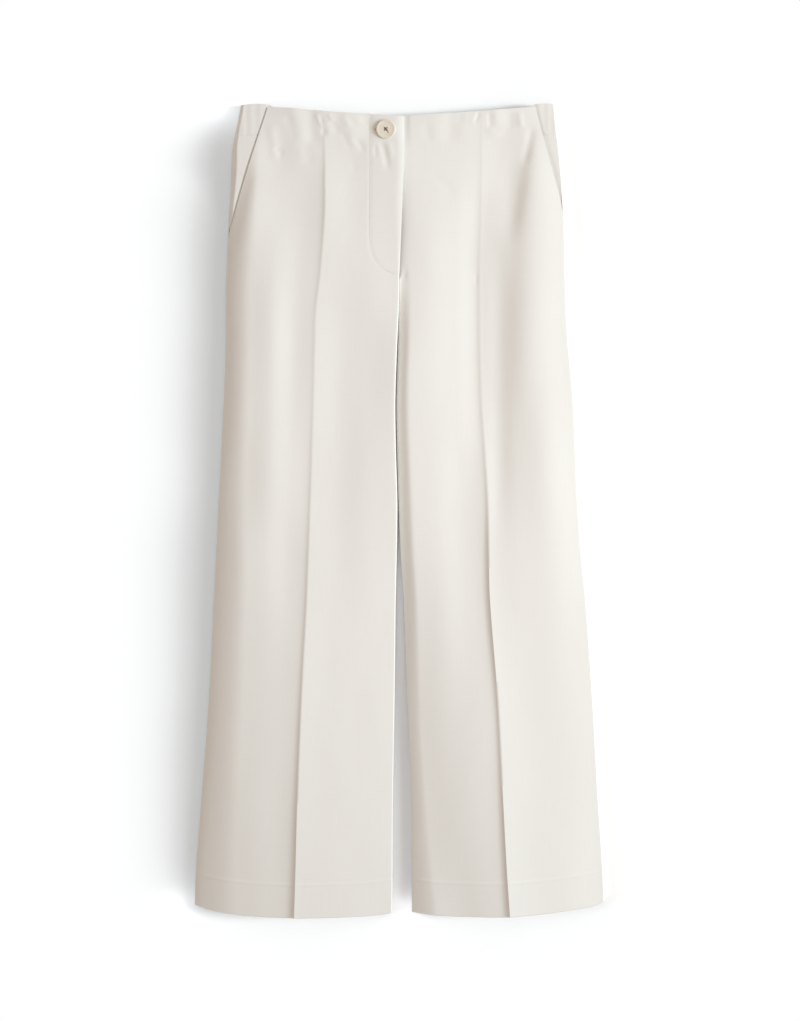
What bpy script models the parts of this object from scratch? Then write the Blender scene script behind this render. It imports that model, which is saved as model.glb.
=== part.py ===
"""Wide cropped culottes lying flat on their back: waist towards +Y, front facing +Z.

The origin is on the floor under the middle of the garment. Right and left are the wearer's, so the
right leg lies on the -X side. Tables and sizes are in millimetres, and MM turns them into metres.
"""

import math
from collections import namedtuple

import bmesh
import bpy
from mathutils import Vector

MM = 0.001

# Cloth
WALL = 1.5              # one layer of cloth
GAP = 0.3               # between two pieces that meet
LAP_GAP = 0.4           # between two layers that lie on each other

# Side seams and inseams, where a front meets a back
SEAM_HEIGHT = 4.0       # middle of the seam above the floor
SEAM_LIP = 0.5          # straight stretch of wall beside the seam

# Backs
BACK_ROLL = 8.0         # width of the rounded edge that rises from the floor
FORK_RISE = 40.0        # length over which the centre back seam comes down from the fork

# Waist
TOP = 471.0             # highest point of the waist edge
BAND_HEIGHT = 36.5      # elastic casing of the back waist
BAND_WALL = 2.2
BAND_TUCK = 1.6         # how far the casing's edge stays below the front's, where it is covered
WAIST_FADE = 150.0      # length over which the rows straighten below the waist
HEM_FADE = 120.0        # length over which the rows straighten above the hem
HEM = -471.0            # lowest point of the hems

# Pressed creases: how fast the sharp ridge falls off towards -X and towards +X
CREASE_WEST = 6.5
CREASE_EAST = 26.0

# Fly
FLY_FOOT = 273.0        # lower end of the opening
FLY_LAP = 3.0           # how far the left front reaches under the right one
FLY_SLOPE = 12.0        # width over which the left front dips to go under
ZIP_COLUMNS = (-14.0, -8.8, -3.6)          # places beside the fly's edge
SHIELD_COLUMNS = (-27.0, -14.0, -3.6, 2.0, 9.0)
SHIELD_WALL = 1.2

# Slant pockets
POCKET_LAP = 10.0       # how far the pocket piece reaches under the front
POCKET_FOOT = 300.0     # lower end of the pocket piece
POCKET_NARROW = 12.0    # below this width in the mouth the piece draws in under the front
POCKET_HIDE = 0.35      # station its outer edge draws in to
POCKET_SINK = 0.8       # how much deeper it lies below the foot of the mouth

# Gathers where the elastic casing shows beside the pockets
GATHER_PITCH = 8.5
GATHER_RISE = 0.5

# Button
BUTTON_X = -15.9
BUTTON_Y = 440.7
BUTTON_RADIUS = 11.3
BUTTON_THICK = 3.0
BUTTON_STAND = 1.1
BUTTON_HOLE_RADIUS = 1.0
BUTTON_HOLE_SPREAD = 1.9
SHANK_RADIUS = 0.8
SLOT_LENGTH = 21.0
SLOT_WIDTH = 2.4
SLOT_SHIFT = -2.2

# Places across the garment, a row for each section from the waist down
Section = namedtuple("Section", "y right_side right_crease centre split left_crease left_side")
SECTIONS = (
    Section(470.0, -183.9, -88.5, 5.2, 0.3, 95.8, 179.8),
    Section(440.0, -189.8, -87.5, 5.8, 0.3, 95.6, 182.8),
    Section(417.0, -194.3, -86.4, 5.8, 0.3, 95.4, 185.6),
    Section(383.0, -195.6, -86.2, 4.6, 0.3, 95.2, 188.6),
    Section(340.0, -197.9, -86.6, 2.8, 0.3, 94.2, 191.4),
    Section(272.0, -201.3, -91.9, 0.0, 0.3, 92.8, 193.1),
    Section(232.0, -201.8, -96.8, -0.6, 0.3, 92.8, 194.1),
    Section(191.0, -201.8, -98.2, -2.3, 0.6, 93.2, 196.6),
    Section(127.0, -204.2, -99.5, -4.3, 0.8, 94.9, 202.3),
    Section(69.0, -207.1, -101.3, -3.6, 0.8, 98.8, 204.7),
    Section(11.0, -210.0, -103.1, -1.9, 1.0, 102.2, 207.2),
    Section(-47.0, -212.9, -105.2, -0.9, 4.2, 104.5, 211.2),
    Section(-105.0, -215.8, -107.3, 0.4, 9.3, 106.4, 216.9),
    Section(-221.0, -221.6, -113.4, 1.8, 14.8, 113.7, 225.0),
    Section(-337.0, -230.3, -117.9, 2.9, 20.8, 119.7, 231.4),
    Section(-418.0, -236.6, -120.0, 3.0, 22.0, 124.0, 236.7),
    Section(-471.0, -238.4, -121.6, 3.0, 22.9, 127.6, 238.4),
)

# Heights of each front above the floor at places across it, from the outer side to the crease and on
# to the inner side, with the width of its inner edge's rounding and the height of the pressed ridge
Loft = namedtuple("Loft", "y outer outer_mid outer_near crest inner_near inner_mid inner roll ridge")
LOFTS = {
    "right": (
        Loft(470.0, 8.6, 10.4, 11.2, 11.2, 11.0, 10.7, 10.4, 10.0, 0.2),
        Loft(446.0, 11.4, 11.6, 11.9, 11.8, 11.4, 11.8, 13.0, 9.5, 0.5),
        Loft(417.0, 14.6, 12.9, 13.9, 12.8, 12.6, 13.6, 14.9, 8.5, 1.1),
        Loft(383.0, 17.2, 15.2, 14.6, 14.8, 14.2, 14.8, 16.0, 7.0, 1.8),
        Loft(342.0, 18.4, 15.9, 14.4, 15.4, 14.6, 15.3, 16.2, 5.5, 1.9),
        Loft(296.0, 18.2, 17.0, 15.0, 16.0, 15.0, 15.3, 15.9, 4.5, 1.5),
        Loft(243.0, 17.9, 18.2, 15.8, 16.1, 14.8, 15.6, 16.2, 5.5, 1.3),
        Loft(185.0, 18.6, 18.9, 15.9, 16.1, 13.8, 15.1, 17.4, 5.5, 1.2),
        Loft(116.0, 18.5, 19.0, 16.6, 16.0, 14.2, 15.9, 17.8, 5.5, 1.2),
        Loft(35.0, 17.4, 19.2, 17.6, 16.3, 15.2, 17.0, 17.2, 5.5, 1.5),
        Loft(-58.0, 16.6, 19.2, 18.4, 18.4, 16.9, 17.2, 16.1, 5.5, 2.0),
        Loft(-163.0, 15.2, 19.0, 20.0, 20.8, 19.0, 16.9, 14.6, 5.5, 2.5),
        Loft(-267.0, 14.4, 18.6, 20.4, 21.6, 20.0, 17.3, 14.0, 5.5, 3.0),
        Loft(-371.0, 13.8, 18.2, 20.6, 21.8, 20.4, 17.6, 13.6, 5.5, 3.6),
        Loft(-471.0, 13.4, 18.0, 20.8, 21.8, 20.6, 17.6, 13.8, 5.5, 4.2),
    ),
    "left": (
        Loft(470.0, 10.4, 10.6, 10.6, 10.6, 10.8, 11.0, 10.6, 12.0, 0.2),
        Loft(446.0, 12.9, 12.5, 11.1, 10.8, 11.2, 11.6, 11.5, 12.0, 0.3),
        Loft(417.0, 14.4, 14.9, 11.5, 11.0, 11.5, 12.2, 12.8, 12.0, 0.4),
        Loft(383.0, 16.0, 17.2, 12.0, 10.9, 12.1, 13.2, 13.9, 12.0, 0.5),
        Loft(342.0, 17.2, 18.6, 13.0, 10.0, 12.2, 13.9, 14.6, 12.0, 0.6),
        Loft(296.0, 17.8, 19.4, 13.8, 9.6, 11.8, 14.2, 14.8, 12.0, 0.7),
        Loft(243.0, 17.8, 19.7, 14.2, 9.5, 11.8, 14.1, 15.0, 13.0, 0.9),
        Loft(185.0, 17.6, 19.5, 14.3, 9.7, 11.7, 14.4, 15.4, 14.0, 1.1),
        Loft(116.0, 17.0, 19.2, 14.6, 10.4, 11.9, 14.6, 15.4, 15.0, 1.3),
        Loft(35.0, 15.6, 18.4, 15.6, 12.0, 11.8, 14.4, 15.4, 16.0, 1.6),
        Loft(-58.0, 14.4, 17.0, 16.3, 13.9, 13.3, 14.8, 14.6, 16.0, 2.2),
        Loft(-163.0, 13.4, 15.9, 16.2, 16.2, 15.8, 15.6, 12.8, 16.0, 2.6),
        Loft(-267.0, 12.6, 15.6, 16.8, 18.4, 18.2, 15.8, 11.0, 16.0, 3.2),
        Loft(-371.0, 12.0, 15.8, 17.6, 19.8, 19.0, 15.8, 10.4, 16.0, 4.0),
        Loft(-471.0, 11.2, 15.8, 18.6, 20.6, 19.4, 15.8, 10.0, 16.0, 4.6),
    ),
}
LOFT_SHARES = (
    ("outer", 0.0), ("outer_mid", 1.0 / 3.0), ("outer_near", 2.0 / 3.0), ("crest", 1.0),
    ("inner_near", 4.0 / 3.0), ("inner_mid", 5.0 / 3.0), ("inner", 2.0),
)
SIDE_ROLL = {"right": 30.0, "left": 7.0}       # widths of the slopes up from the side seams
SIDE_ROUND = {"right": 0.35, "left": 0.9}       # 1 for a quarter turn, 0 for a ramp that levels out
INNER_ROUND = {"right": 0.9, "left": 0.2}

# How soon the slope up from the right side seam levels out
Power = namedtuple("Power", "y value")
RAMP = (Power(470.0, 1.8), Power(191.0, 1.8), Power(11.0, 1.65), Power(-105.0, 1.45), Power(-471.0, 1.3))

# Height of the centre seam and of the fly's edge
Level = namedtuple("Level", "y height")
CENTRE = (
    Level(470.0, 9.9), Level(440.0, 11.9), Level(417.0, 13.8), Level(383.0, 15.0), Level(320.0, 15.2),
    Level(272.0, 13.6), Level(232.0, 9.2), Level(191.0, 4.65), Level(-471.0, 4.65),
)

# Slant pocket mouths: where each front's edge lies, from the waist down to the side seam
Mouth = namedtuple("Mouth", "y right left")
MOUTHS = (
    Mouth(471.0, -151.6, 157.0),
    Mouth(455.0, -156.5, 160.4),
    Mouth(423.0, -166.8, 168.8),
    Mouth(386.0, -178.6, 178.9),
    Mouth(360.0, -186.3, 185.8),
    Mouth(337.0, -192.8, 189.6),
    Mouth(321.0, -197.8, 191.0),
)
MOUTH_FOOT = 321.0
MOUTH_BLEND = 15.0      # length over which the front's edge comes down to the side seam
MOUTH_LIFT = 0.6        # how far the edge stays above the seam at the foot of the mouth

# Edges that run across, from the right side to the left
Edge = namedtuple("Edge", "x y")
FRONT_TOP = (
    Edge(-184.0, 467.0), Edge(-152.0, 467.0), Edge(-130.0, 466.0), Edge(-76.0, 461.4),
    Edge(-22.0, 458.0), Edge(5.0, 456.6), Edge(30.0, 458.2), Edge(85.0, 461.6),
    Edge(140.0, 466.0), Edge(158.0, 467.0), Edge(180.0, 467.0),
)
BAND_TOP = (
    Edge(-184.0, 469.6), Edge(-166.0, 471.0), Edge(-150.0, 469.6), Edge(-128.0, 466.0),
    Edge(-76.0, 461.4), Edge(-22.0, 458.0), Edge(5.0, 456.6), Edge(30.0, 458.2),
    Edge(85.0, 461.6), Edge(138.0, 466.0), Edge(154.0, 469.6), Edge(168.0, 471.0),
    Edge(180.0, 469.6),
)
HEM_EDGE = (
    Edge(-238.4, -458.5), Edge(-222.0, -463.0), Edge(-199.0, -466.6), Edge(-172.0, -469.2),
    Edge(-129.0, -471.0), Edge(-79.0, -471.0), Edge(-28.0, -469.0), Edge(-9.0, -466.6),
    Edge(3.0, -466.2), Edge(14.5, -466.6), Edge(34.0, -468.9), Edge(70.0, -470.4),
    Edge(116.0, -470.6), Edge(141.0, -469.0), Edge(171.0, -466.6), Edge(197.0, -463.2),
    Edge(222.0, -459.6), Edge(232.0, -456.6), Edge(238.4, -452.8),
)

# Soft folds of the fronts, each along a line: rise below 0 is a trough
Fold = namedtuple("Fold", "leg x0 y0 x1 y1 rise half")
FOLDS = (
    Fold("right", -124.0, 475.0, -118.0, 420.0, 1.1, 9.0),
    Fold("right", -104.0, 475.0, -100.0, 415.0, -1.0, 8.0),
    Fold("right", -62.0, 470.0, -52.0, 412.0, 1.0, 9.0),
    Fold("right", -38.0, 465.0, -34.0, 425.0, -0.9, 7.0),
    Fold("left", 127.0, 462.0, 120.0, 310.0, -1.3, 11.0),
    Fold("left", 120.0, 350.0, 119.0, -70.0, -1.3, 11.0),
    Fold("left", 146.0, 440.0, 144.0, 60.0, 0.8, 13.0),
    Fold("left", 112.0, 475.0, 110.0, 425.0, 1.0, 9.0),
    Fold("left", 60.0, 470.0, 58.0, 420.0, -0.8, 10.0),
)

# Levels of the rows, a stretch at a time from the waist down
Stretch = namedtuple("Stretch", "start end rows")
FRONT_ROWS = (
    Stretch(471.0, 441.0, 4), Stretch(441.0, 381.0, 5), Stretch(381.0, 321.0, 4),
    Stretch(321.0, 306.0, 1), Stretch(306.0, 285.0, 1), Stretch(285.0, 273.0, 1),
    Stretch(273.0, 261.0, 1), Stretch(261.0, 181.0, 6), Stretch(181.0, -369.0, 14),
    Stretch(-369.0, -471.0, 4),
)
BACK_ROWS = (
    Stretch(433.0, 291.0, 4), Stretch(291.0, 231.0, 2), Stretch(231.0, 181.0, 5),
    Stretch(181.0, -369.0, 11), Stretch(-369.0, -471.0, 4),
)
BACK_TOP = 433.0

# Stations across a front: -1 side seam, 0 to 1 side roll, 2 crease, 3 to 4 inner roll, 5 inner edge
FRONT_STATIONS = (
    -1.0, 0.0, 0.12, 0.3, 0.52, 0.76, 1.02, 1.3, 1.55, 1.76, 1.88, 1.955, 2.0,
    2.045, 2.12, 2.25, 2.45, 2.7, 3.0, 3.3, 3.6, 3.82, 4.0, 5.0,
)
MOUTH_COLUMNS = 8       # columns of a front that spread out from the pocket mouth
BACK_STATIONS = (-1.0, 0.0, 0.3, 0.6, 1.0, 1.5, 2.0, 2.5, 3.0, 3.4, 3.7, 4.0, 5.0)
RIGHT = 1.0             # direction from the side seam to the centre, along X
LEFT = -1.0
TOWARDS = {"right": RIGHT, "left": LEFT}


def between(low, high, share):
    return low + (high - low) * share


def eased(share):
    """0 up to 0 and 1 from 1 on, with a soft start and end."""
    share = min(max(share, 0.0), 1.0)
    return share * share * (3.0 - 2.0 * share)


def curve_through(knots, place):
    """Value at a place on the smooth curve through knots, which are (place, value) pairs in order."""
    last = len(knots) - 1
    k = 0
    while k < last - 1 and knots[k + 1][0] < place:
        k += 1
    (p1, v1), (p2, v2) = knots[k], knots[k + 1]
    p0, v0 = knots[max(k - 1, 0)]
    p3, v3 = knots[min(k + 2, last)]
    span = p2 - p1
    share = min(max((place - p1) / span, 0.0), 1.0)
    lead = (v2 - v0) / (p2 - p0) * span
    tail = (v3 - v1) / (p3 - p1) * span
    square, cube = share ** 2, share ** 3
    return (v1 * (2 * cube - 3 * square + 1) + lead * (cube - 2 * square + share)
            + v2 * (3 * square - 2 * cube) + tail * (cube - square))


def column_at(table, column, y):
    """A column of a table of sections, read at height y."""
    return curve_through([(-row.y, getattr(row, column)) for row in table], -y)


def edge_at(edge, x):
    """Height y of an edge that runs across, read at x."""
    return curve_through([(point.x, point.y) for point in edge], x)


def fold_height(leg, x, y):
    """What the soft folds add at a point of a front."""
    total = 0.0
    for fold in FOLDS:
        if fold.leg != leg:
            continue
        run_x, run_y = fold.x1 - fold.x0, fold.y1 - fold.y0
        length = math.hypot(run_x, run_y)
        along = ((x - fold.x0) * run_x + (y - fold.y0) * run_y) / length ** 2
        aside = ((x - fold.x0) * run_y - (y - fold.y0) * run_x) / length
        taper = eased(along / 0.3) * eased((1.0 - along) / 0.3)
        total += fold.rise * taper * math.exp(-(aside / fold.half) ** 2)
    return total


class Across:
    """Where the side, the crease and the inner edge of one front are at height y."""

    def __init__(self, leg, y):
        self.leg = leg
        self.y = y
        self.towards = TOWARDS[leg]
        self.side = column_at(SECTIONS, f"{leg}_side", y)
        self.crease = column_at(SECTIONS, f"{leg}_crease", y)
        half_split = max(column_at(SECTIONS, "split", y), GAP) / 2
        self.edge = column_at(SECTIONS, "centre", y) - self.towards * half_split
        self.side_roll = SIDE_ROLL[leg]
        loft = LOFTS[leg]
        self.inner_roll = column_at(loft, "roll", y)
        self.ramp = column_at(RAMP, "value", y)
        self.ridge = column_at(loft, "ridge", y)
        self.centre = max(column_at(CENTRE, "height", y), SEAM_HEIGHT + GAP / 2 + SEAM_LIP)
        self.knots = [(self.place_across(share), column_at(loft, column, y))
                      for column, share in LOFT_SHARES]
        self.knots.sort()
        self.lift = MOUTH_LIFT * eased((y - MOUTH_FOOT + 2.0 * MOUTH_BLEND) / MOUTH_BLEND)
        self.under = 0.0
        if leg == "left":
            self.under = eased((y - FLY_FOOT + 12.0) / 12.0)
            self.edge -= FLY_LAP * min(max((y - FLY_FOOT) / 12.0, 0.0), 1.0)

    def place_across(self, share):
        """Place x at a share of the open part: 0 at the side roll, 1 at the crease, 2 at the inner roll."""
        if share < 1.0:
            return between(self.side + self.towards * self.side_roll, self.crease, share)
        return between(self.crease, self.edge - self.towards * self.inner_roll, share - 1.0)

    def height(self, x):
        """Height of the open part of the front, before its edges roll down."""
        reach = CREASE_WEST if x < self.crease else CREASE_EAST
        ridge = self.ridge * math.exp(-abs(x - self.crease) / reach)
        return curve_through(self.knots, x) + ridge + fold_height(self.leg, x, self.y)

    def point(self, station):
        """Point of the outer face at a station."""
        foot = SEAM_HEIGHT + GAP / 2 + self.lift
        if station < 0.0:
            return Vector((self.side, self.y, foot + SEAM_LIP * (1.0 + station)))
        if station < 1.0:
            turn = math.pi / 2 * station
            x = self.side + self.towards * self.side_roll * (1.0 - math.cos(turn))
            rise = between(1.0 - math.cos(turn) ** self.ramp, math.sin(turn), SIDE_ROUND[self.leg])
            return Vector((x, self.y, between(foot + SEAM_LIP, self.height(x), rise)))
        if station < 2.0:
            x = between(self.side + self.towards * self.side_roll, self.crease, station - 1.0)
            return Vector((x, self.y, self.height(x)))
        roll_start = self.edge - self.towards * self.inner_roll
        if station < 3.0:
            x = between(self.crease, roll_start, station - 2.0)
            return Vector((x, self.y, self.height(x)))
        return self.inner_point(station)

    def inner_point(self, station):
        """Point of the outer face on the inner roll, or on the dip that goes under the fly."""
        turn = math.pi / 2 * min(station - 3.0, 1.0)
        x = self.edge - self.towards * self.inner_roll * (1.0 - math.sin(turn))
        lip = SEAM_LIP * max(station - 4.0, 0.0)
        rise = between(1.0 - math.sin(turn) ** self.ramp, math.cos(turn), INNER_ROUND[self.leg])
        z = between(self.centre, self.height(x), rise) - lip
        if self.under > 0.0:
            floor = self.centre - WALL - LAP_GAP
            reach = (x - self.edge - FLY_LAP) / FLY_SLOPE
            dipped = between(floor, self.height(x), eased(reach))
            z = between(z, dipped, self.under)
        return Vector((x, self.y, z))


def station_of(across, x):
    """Station of a place between the side seam and the crease."""
    reach = (x - across.side) * across.towards
    if reach < across.side_roll:
        return math.acos(1.0 - max(reach, 0.0) / across.side_roll) / (math.pi / 2)
    span = (across.crease - across.side) * across.towards - across.side_roll
    return 1.0 + (reach - across.side_roll) / span


def beside_mouth(across, column, plain):
    """Station of one of a front's first columns: evenly spaced from the pocket mouth, plain below it."""
    mouth = station_of(across, column_at(MOUTHS, across.leg, across.y))
    spread = between(mouth, FRONT_STATIONS[MOUTH_COLUMNS], column / MOUTH_COLUMNS)
    return between(plain, spread, eased((across.y - MOUTH_FOOT + MOUTH_BLEND) / MOUTH_BLEND))


def moved_in(leg, station, y, depth):
    """Point under the outer face of a front, at a depth measured square to it."""
    step = 0.02
    here = Across(leg, y)
    point = here.point(station)
    across = here.point(station + step) - here.point(station - step)
    along = Across(leg, y + 0.5).point(station) - Across(leg, y - 0.5).point(station)
    normal = across.cross(along).normalized() * TOWARDS[leg]
    return point - normal * depth


def row_levels(stretches):
    """Levels of the rows from the lowest up."""
    levels = [stretches[0].start]
    for stretch in stretches:
        step = (stretch.end - stretch.start) / stretch.rows
        levels += [stretch.start + step * (k + 1) for k in range(stretch.rows)]
    return levels[::-1]


def bent(level, x, top_edge, top):
    """Height y of a row at x: rows follow the waist edge near the top and the hem near the foot."""
    near_top = max(1.0 - (top - level) / WAIST_FADE, 0.0)
    near_hem = max(1.0 - (level - HEM) / HEM_FADE, 0.0)
    return (level + (edge_at(top_edge, x) - top) * near_top
            + (edge_at(HEM_EDGE, x) - HEM) * near_hem)


def new_object(name, mesh, colour, roughness, home):
    """An object in a collection, with its own material."""
    material = bpy.data.materials.new(name)
    material.use_nodes = True
    shader = material.node_tree.nodes["Principled BSDF"]
    shader.inputs["Base Color"].default_value = (*colour, 1.0)
    shader.inputs["Roughness"].default_value = roughness
    shader.inputs["Metallic"].default_value = 0.0
    mesh.materials.append(material)
    obj = bpy.data.objects.new(name, mesh)
    home.objects.link(obj)
    return obj


def cloth(name, columns, rows, place, home, wall=WALL):
    """A wall of cloth: a grid of points whose outer face is set by place(column, row)."""
    form = bmesh.new()
    bmesh.ops.create_grid(form, x_segments=columns - 1, y_segments=rows - 1, size=1.0)
    for vert in form.verts:
        column = round((vert.co.x + 1.0) / 2.0 * (columns - 1))
        row = round((vert.co.y + 1.0) / 2.0 * (rows - 1))
        vert.co = place(column, row) * MM
    mesh = bpy.data.meshes.new(name)
    form.to_mesh(mesh)
    form.free()
    mesh.shade_smooth()
    obj = new_object(name, mesh, (0.84, 0.81, 0.76), 0.85, home)
    thick = obj.modifiers.new("wall", "SOLIDIFY")
    thick.thickness = wall * MM
    thick.offset = -1.0
    thick.use_even_offset = True
    return obj


def front(leg, home):
    """One front leg panel, from the waist edge to the hem."""
    levels = row_levels(FRONT_ROWS)
    count = len(FRONT_STATIONS)

    def place(column, row):
        level = levels[row]
        order = column if leg == "right" else count - 1 - column
        base = FRONT_STATIONS[order]
        x = Across(leg, level).point(max(base, 1.0)).x
        across = Across(leg, bent(level, x, FRONT_TOP, TOP))
        station = base
        if order < MOUTH_COLUMNS:
            station = beside_mouth(across, order, base)
        x = across.point(station).x
        across = Across(leg, bent(level, x, FRONT_TOP, TOP))
        return across.point(station)

    return cloth(f"front_{leg}", count, len(levels), place, home)


def back_point(leg, station, y):
    """Point of a back's outer face, which lies on the floor and rises at the seams."""
    across = Across(leg, y)
    towards = across.towards
    edge = column_at(SECTIONS, "centre", y) - towards * max(column_at(SECTIONS, "split", y), GAP) / 2
    crotch = SECTIONS[7].y
    up = 1.0 - eased((y - crotch) / FORK_RISE)
    rise = SEAM_HEIGHT - GAP / 2 - SEAM_LIP
    if station < 0.0:
        return Vector((across.side, y, rise - SEAM_LIP * station))
    if station < 1.0:
        turn = math.pi / 2 * station
        x = across.side + towards * BACK_ROLL * (1.0 - math.cos(turn))
        return Vector((x, y, rise * (1.0 - math.sin(turn))))
    lip_start = edge - towards * SEAM_LIP * (1.0 - up)
    if station < 3.0:
        x = between(across.side + towards * BACK_ROLL, lip_start - towards * BACK_ROLL, (station - 1.0) / 2.0)
        return Vector((x, y, 0.0))
    if station <= 4.0:
        turn = math.pi / 2 * (station - 3.0)
        x = lip_start - towards * BACK_ROLL * (1.0 - math.sin(turn))
        return Vector((x, y, rise * up * (1.0 - math.cos(turn))))
    share = station - 4.0
    return Vector((between(lip_start, edge, share), y, (rise + SEAM_LIP * share) * up))


def band_foot(x):
    """Lower edge of the elastic casing."""
    return edge_at(BAND_TOP, x) - BAND_HEIGHT


def back(leg, home):
    """One back leg panel, from the elastic casing to the hem."""
    levels = row_levels(BACK_ROWS)
    count = len(BACK_STATIONS)
    foot_edge = tuple(Edge(point.x, point.y - BAND_HEIGHT - GAP) for point in BAND_TOP)

    def place(column, row):
        level = levels[row]
        order = count - 1 - column if leg == "right" else column
        station = BACK_STATIONS[order]
        x = back_point(leg, station, level).x
        return back_point(leg, station, bent(level, x, foot_edge, BACK_TOP))

    return cloth(f"back_{leg}", count, len(levels), place, home)


def sunk(across, station):
    """How deep a piece beside the pocket mouth lies: under the front, and level with it at the side."""
    mouth = column_at(MOUTHS, across.leg, across.y)
    shown = (mouth - across.side) * across.towards
    x = across.point(station).x
    outside = (mouth - x) * across.towards
    full = WALL + LAP_GAP + POCKET_SINK * eased((MOUTH_FOOT + 10.0 - across.y) / 12.0)
    at_side = full * (1.0 - eased(shown / POCKET_NARROW))
    return between(full, at_side, eased(outside / max(shown, 1.0)))


def tucked(leg, share, y):
    """Point of a piece that runs from the side seam (share 0) to under the front (share 1)."""
    across = Across(leg, y)
    mouth = column_at(MOUTHS, leg, y)
    inner = station_of(across, mouth + across.towards * POCKET_LAP)
    shown = (mouth - across.side) * across.towards
    outer = POCKET_HIDE * (1.0 - eased(shown / POCKET_NARROW))
    station = between(outer, inner, share)
    return moved_in(leg, station, y, sunk(across, station)), across.point(station).x


def pocket_piece(leg, home):
    """The hip piece that shows in the pocket mouth, from the side seam to under the front."""
    columns, rows = 10, 11
    lip = -1.0

    def place(column, row):
        order = column if leg == "right" else columns - 1 - column
        share = (order - 1) / (columns - 2)
        rise = row / (rows - 1)
        x = column_at(SECTIONS, f"{leg}_side", 433.0)
        y = between(POCKET_FOOT, band_foot(x) - GAP, rise)
        for _ in range(2):
            x = tucked(leg, max(share, 0.0), y)[1]
            y = between(POCKET_FOOT, band_foot(x) - GAP, rise)
        point = tucked(leg, max(share, 0.0), y)[0]
        if order == 0:
            point.z += SEAM_LIP * lip
        return point

    return cloth(f"pocket_{leg}", columns, rows, place, home)


def waistband(home):
    """The elastic casing: across the back on the floor, round both sides and under the fronts."""
    shares = [1.0 - k / 14 for k in range(15)]
    back_stations = (-0.6, 0.3, 0.6, 1.0, 1.5, 2.0, 2.5, 2.9)
    rows = 5
    path = [("front", "right", share) for share in shares]
    path += [("back", "right", station) for station in back_stations]
    path += [("back", "left", station) for station in back_stations[::-1]]
    path += [("front", "left", share) for share in shares[::-1]]

    def on_path(step, y):
        kind, leg, value = step
        if kind == "back":
            point = back_point(leg, value, y)
            return point, point.x, 1.0
        point, x = tucked(leg, value, y)
        mouth = column_at(MOUTHS, leg, y)
        outside = (mouth - x) * TOWARDS[leg]
        gather = GATHER_RISE * math.cos(2.0 * math.pi * x / GATHER_PITCH) * eased((outside - 2.0) / 6.0)
        point.z += gather * eased(value / 0.2)
        return point, x, eased((outside + 6.0) / 6.0)

    def place(column, row):
        step = path[len(path) - 1 - column]
        y = TOP - BAND_HEIGHT
        for _ in range(3):
            _, x, shown = on_path(step, y)
            top = edge_at(BAND_TOP, x)
            tuck = BAND_TUCK if step[0] == "back" else BAND_TUCK * (1.0 - shown)
            y = between(top - BAND_HEIGHT, top - tuck, row / (rows - 1))
        return on_path(step, y)[0]

    return cloth("waistband_back", len(path), rows, place, home, BAND_WALL)


def under_fly(name, offsets, depth, top, foot, wall, home):
    """A strip under the fly, made from the points of the right front and moved down.

    Offsets are the places of its columns beside the fly's edge. It stays under the dip of the left front.
    """
    rows = 13

    def place(column, row):
        level = between(foot, top, row / (rows - 1))
        across = Across("right", level)
        x = across.edge + offsets[column]
        y = bent(level, x, FRONT_TOP, TOP)
        across = Across("right", y)
        rolled = min(max((-offsets[column] - FLY_LAP - 2.0 * GAP) / across.inner_roll, 0.0), 1.0)
        drop = math.sqrt(1.0 - (1.0 - rolled) ** 2)
        surface = between(across.centre, across.height(min(x, across.edge)), drop)
        return Vector((x, y, surface - depth))

    return cloth(name, len(offsets), rows, place, home, wall)


def cylinder(form, radius, low, high, segments, x=0.0, y=0.0):
    """Adds an upright cylinder to a form."""
    made = bmesh.ops.create_cone(form, cap_ends=True, segments=segments, radius1=radius * MM,
                                 radius2=radius * MM, depth=(high - low) * MM)
    bmesh.ops.translate(form, verts=made["verts"], vec=Vector((x, y, (low + high) / 2)) * MM)


def mesh_from(form, name):
    mesh = bpy.data.meshes.new(name)
    form.to_mesh(mesh)
    form.free()
    return mesh


def cutter(name, mesh, home):
    """A closed body that cuts another and isn't part of the garment."""
    obj = bpy.data.objects.new(name, mesh)
    home.objects.link(obj)
    obj.hide_render = True
    obj.display_type = "WIRE"
    return obj


def cut(obj, tool, operation="DIFFERENCE"):
    change = obj.modifiers.new(tool.name, "BOOLEAN")
    change.operation = operation
    change.solver = "EXACT"
    change.object = tool


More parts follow.
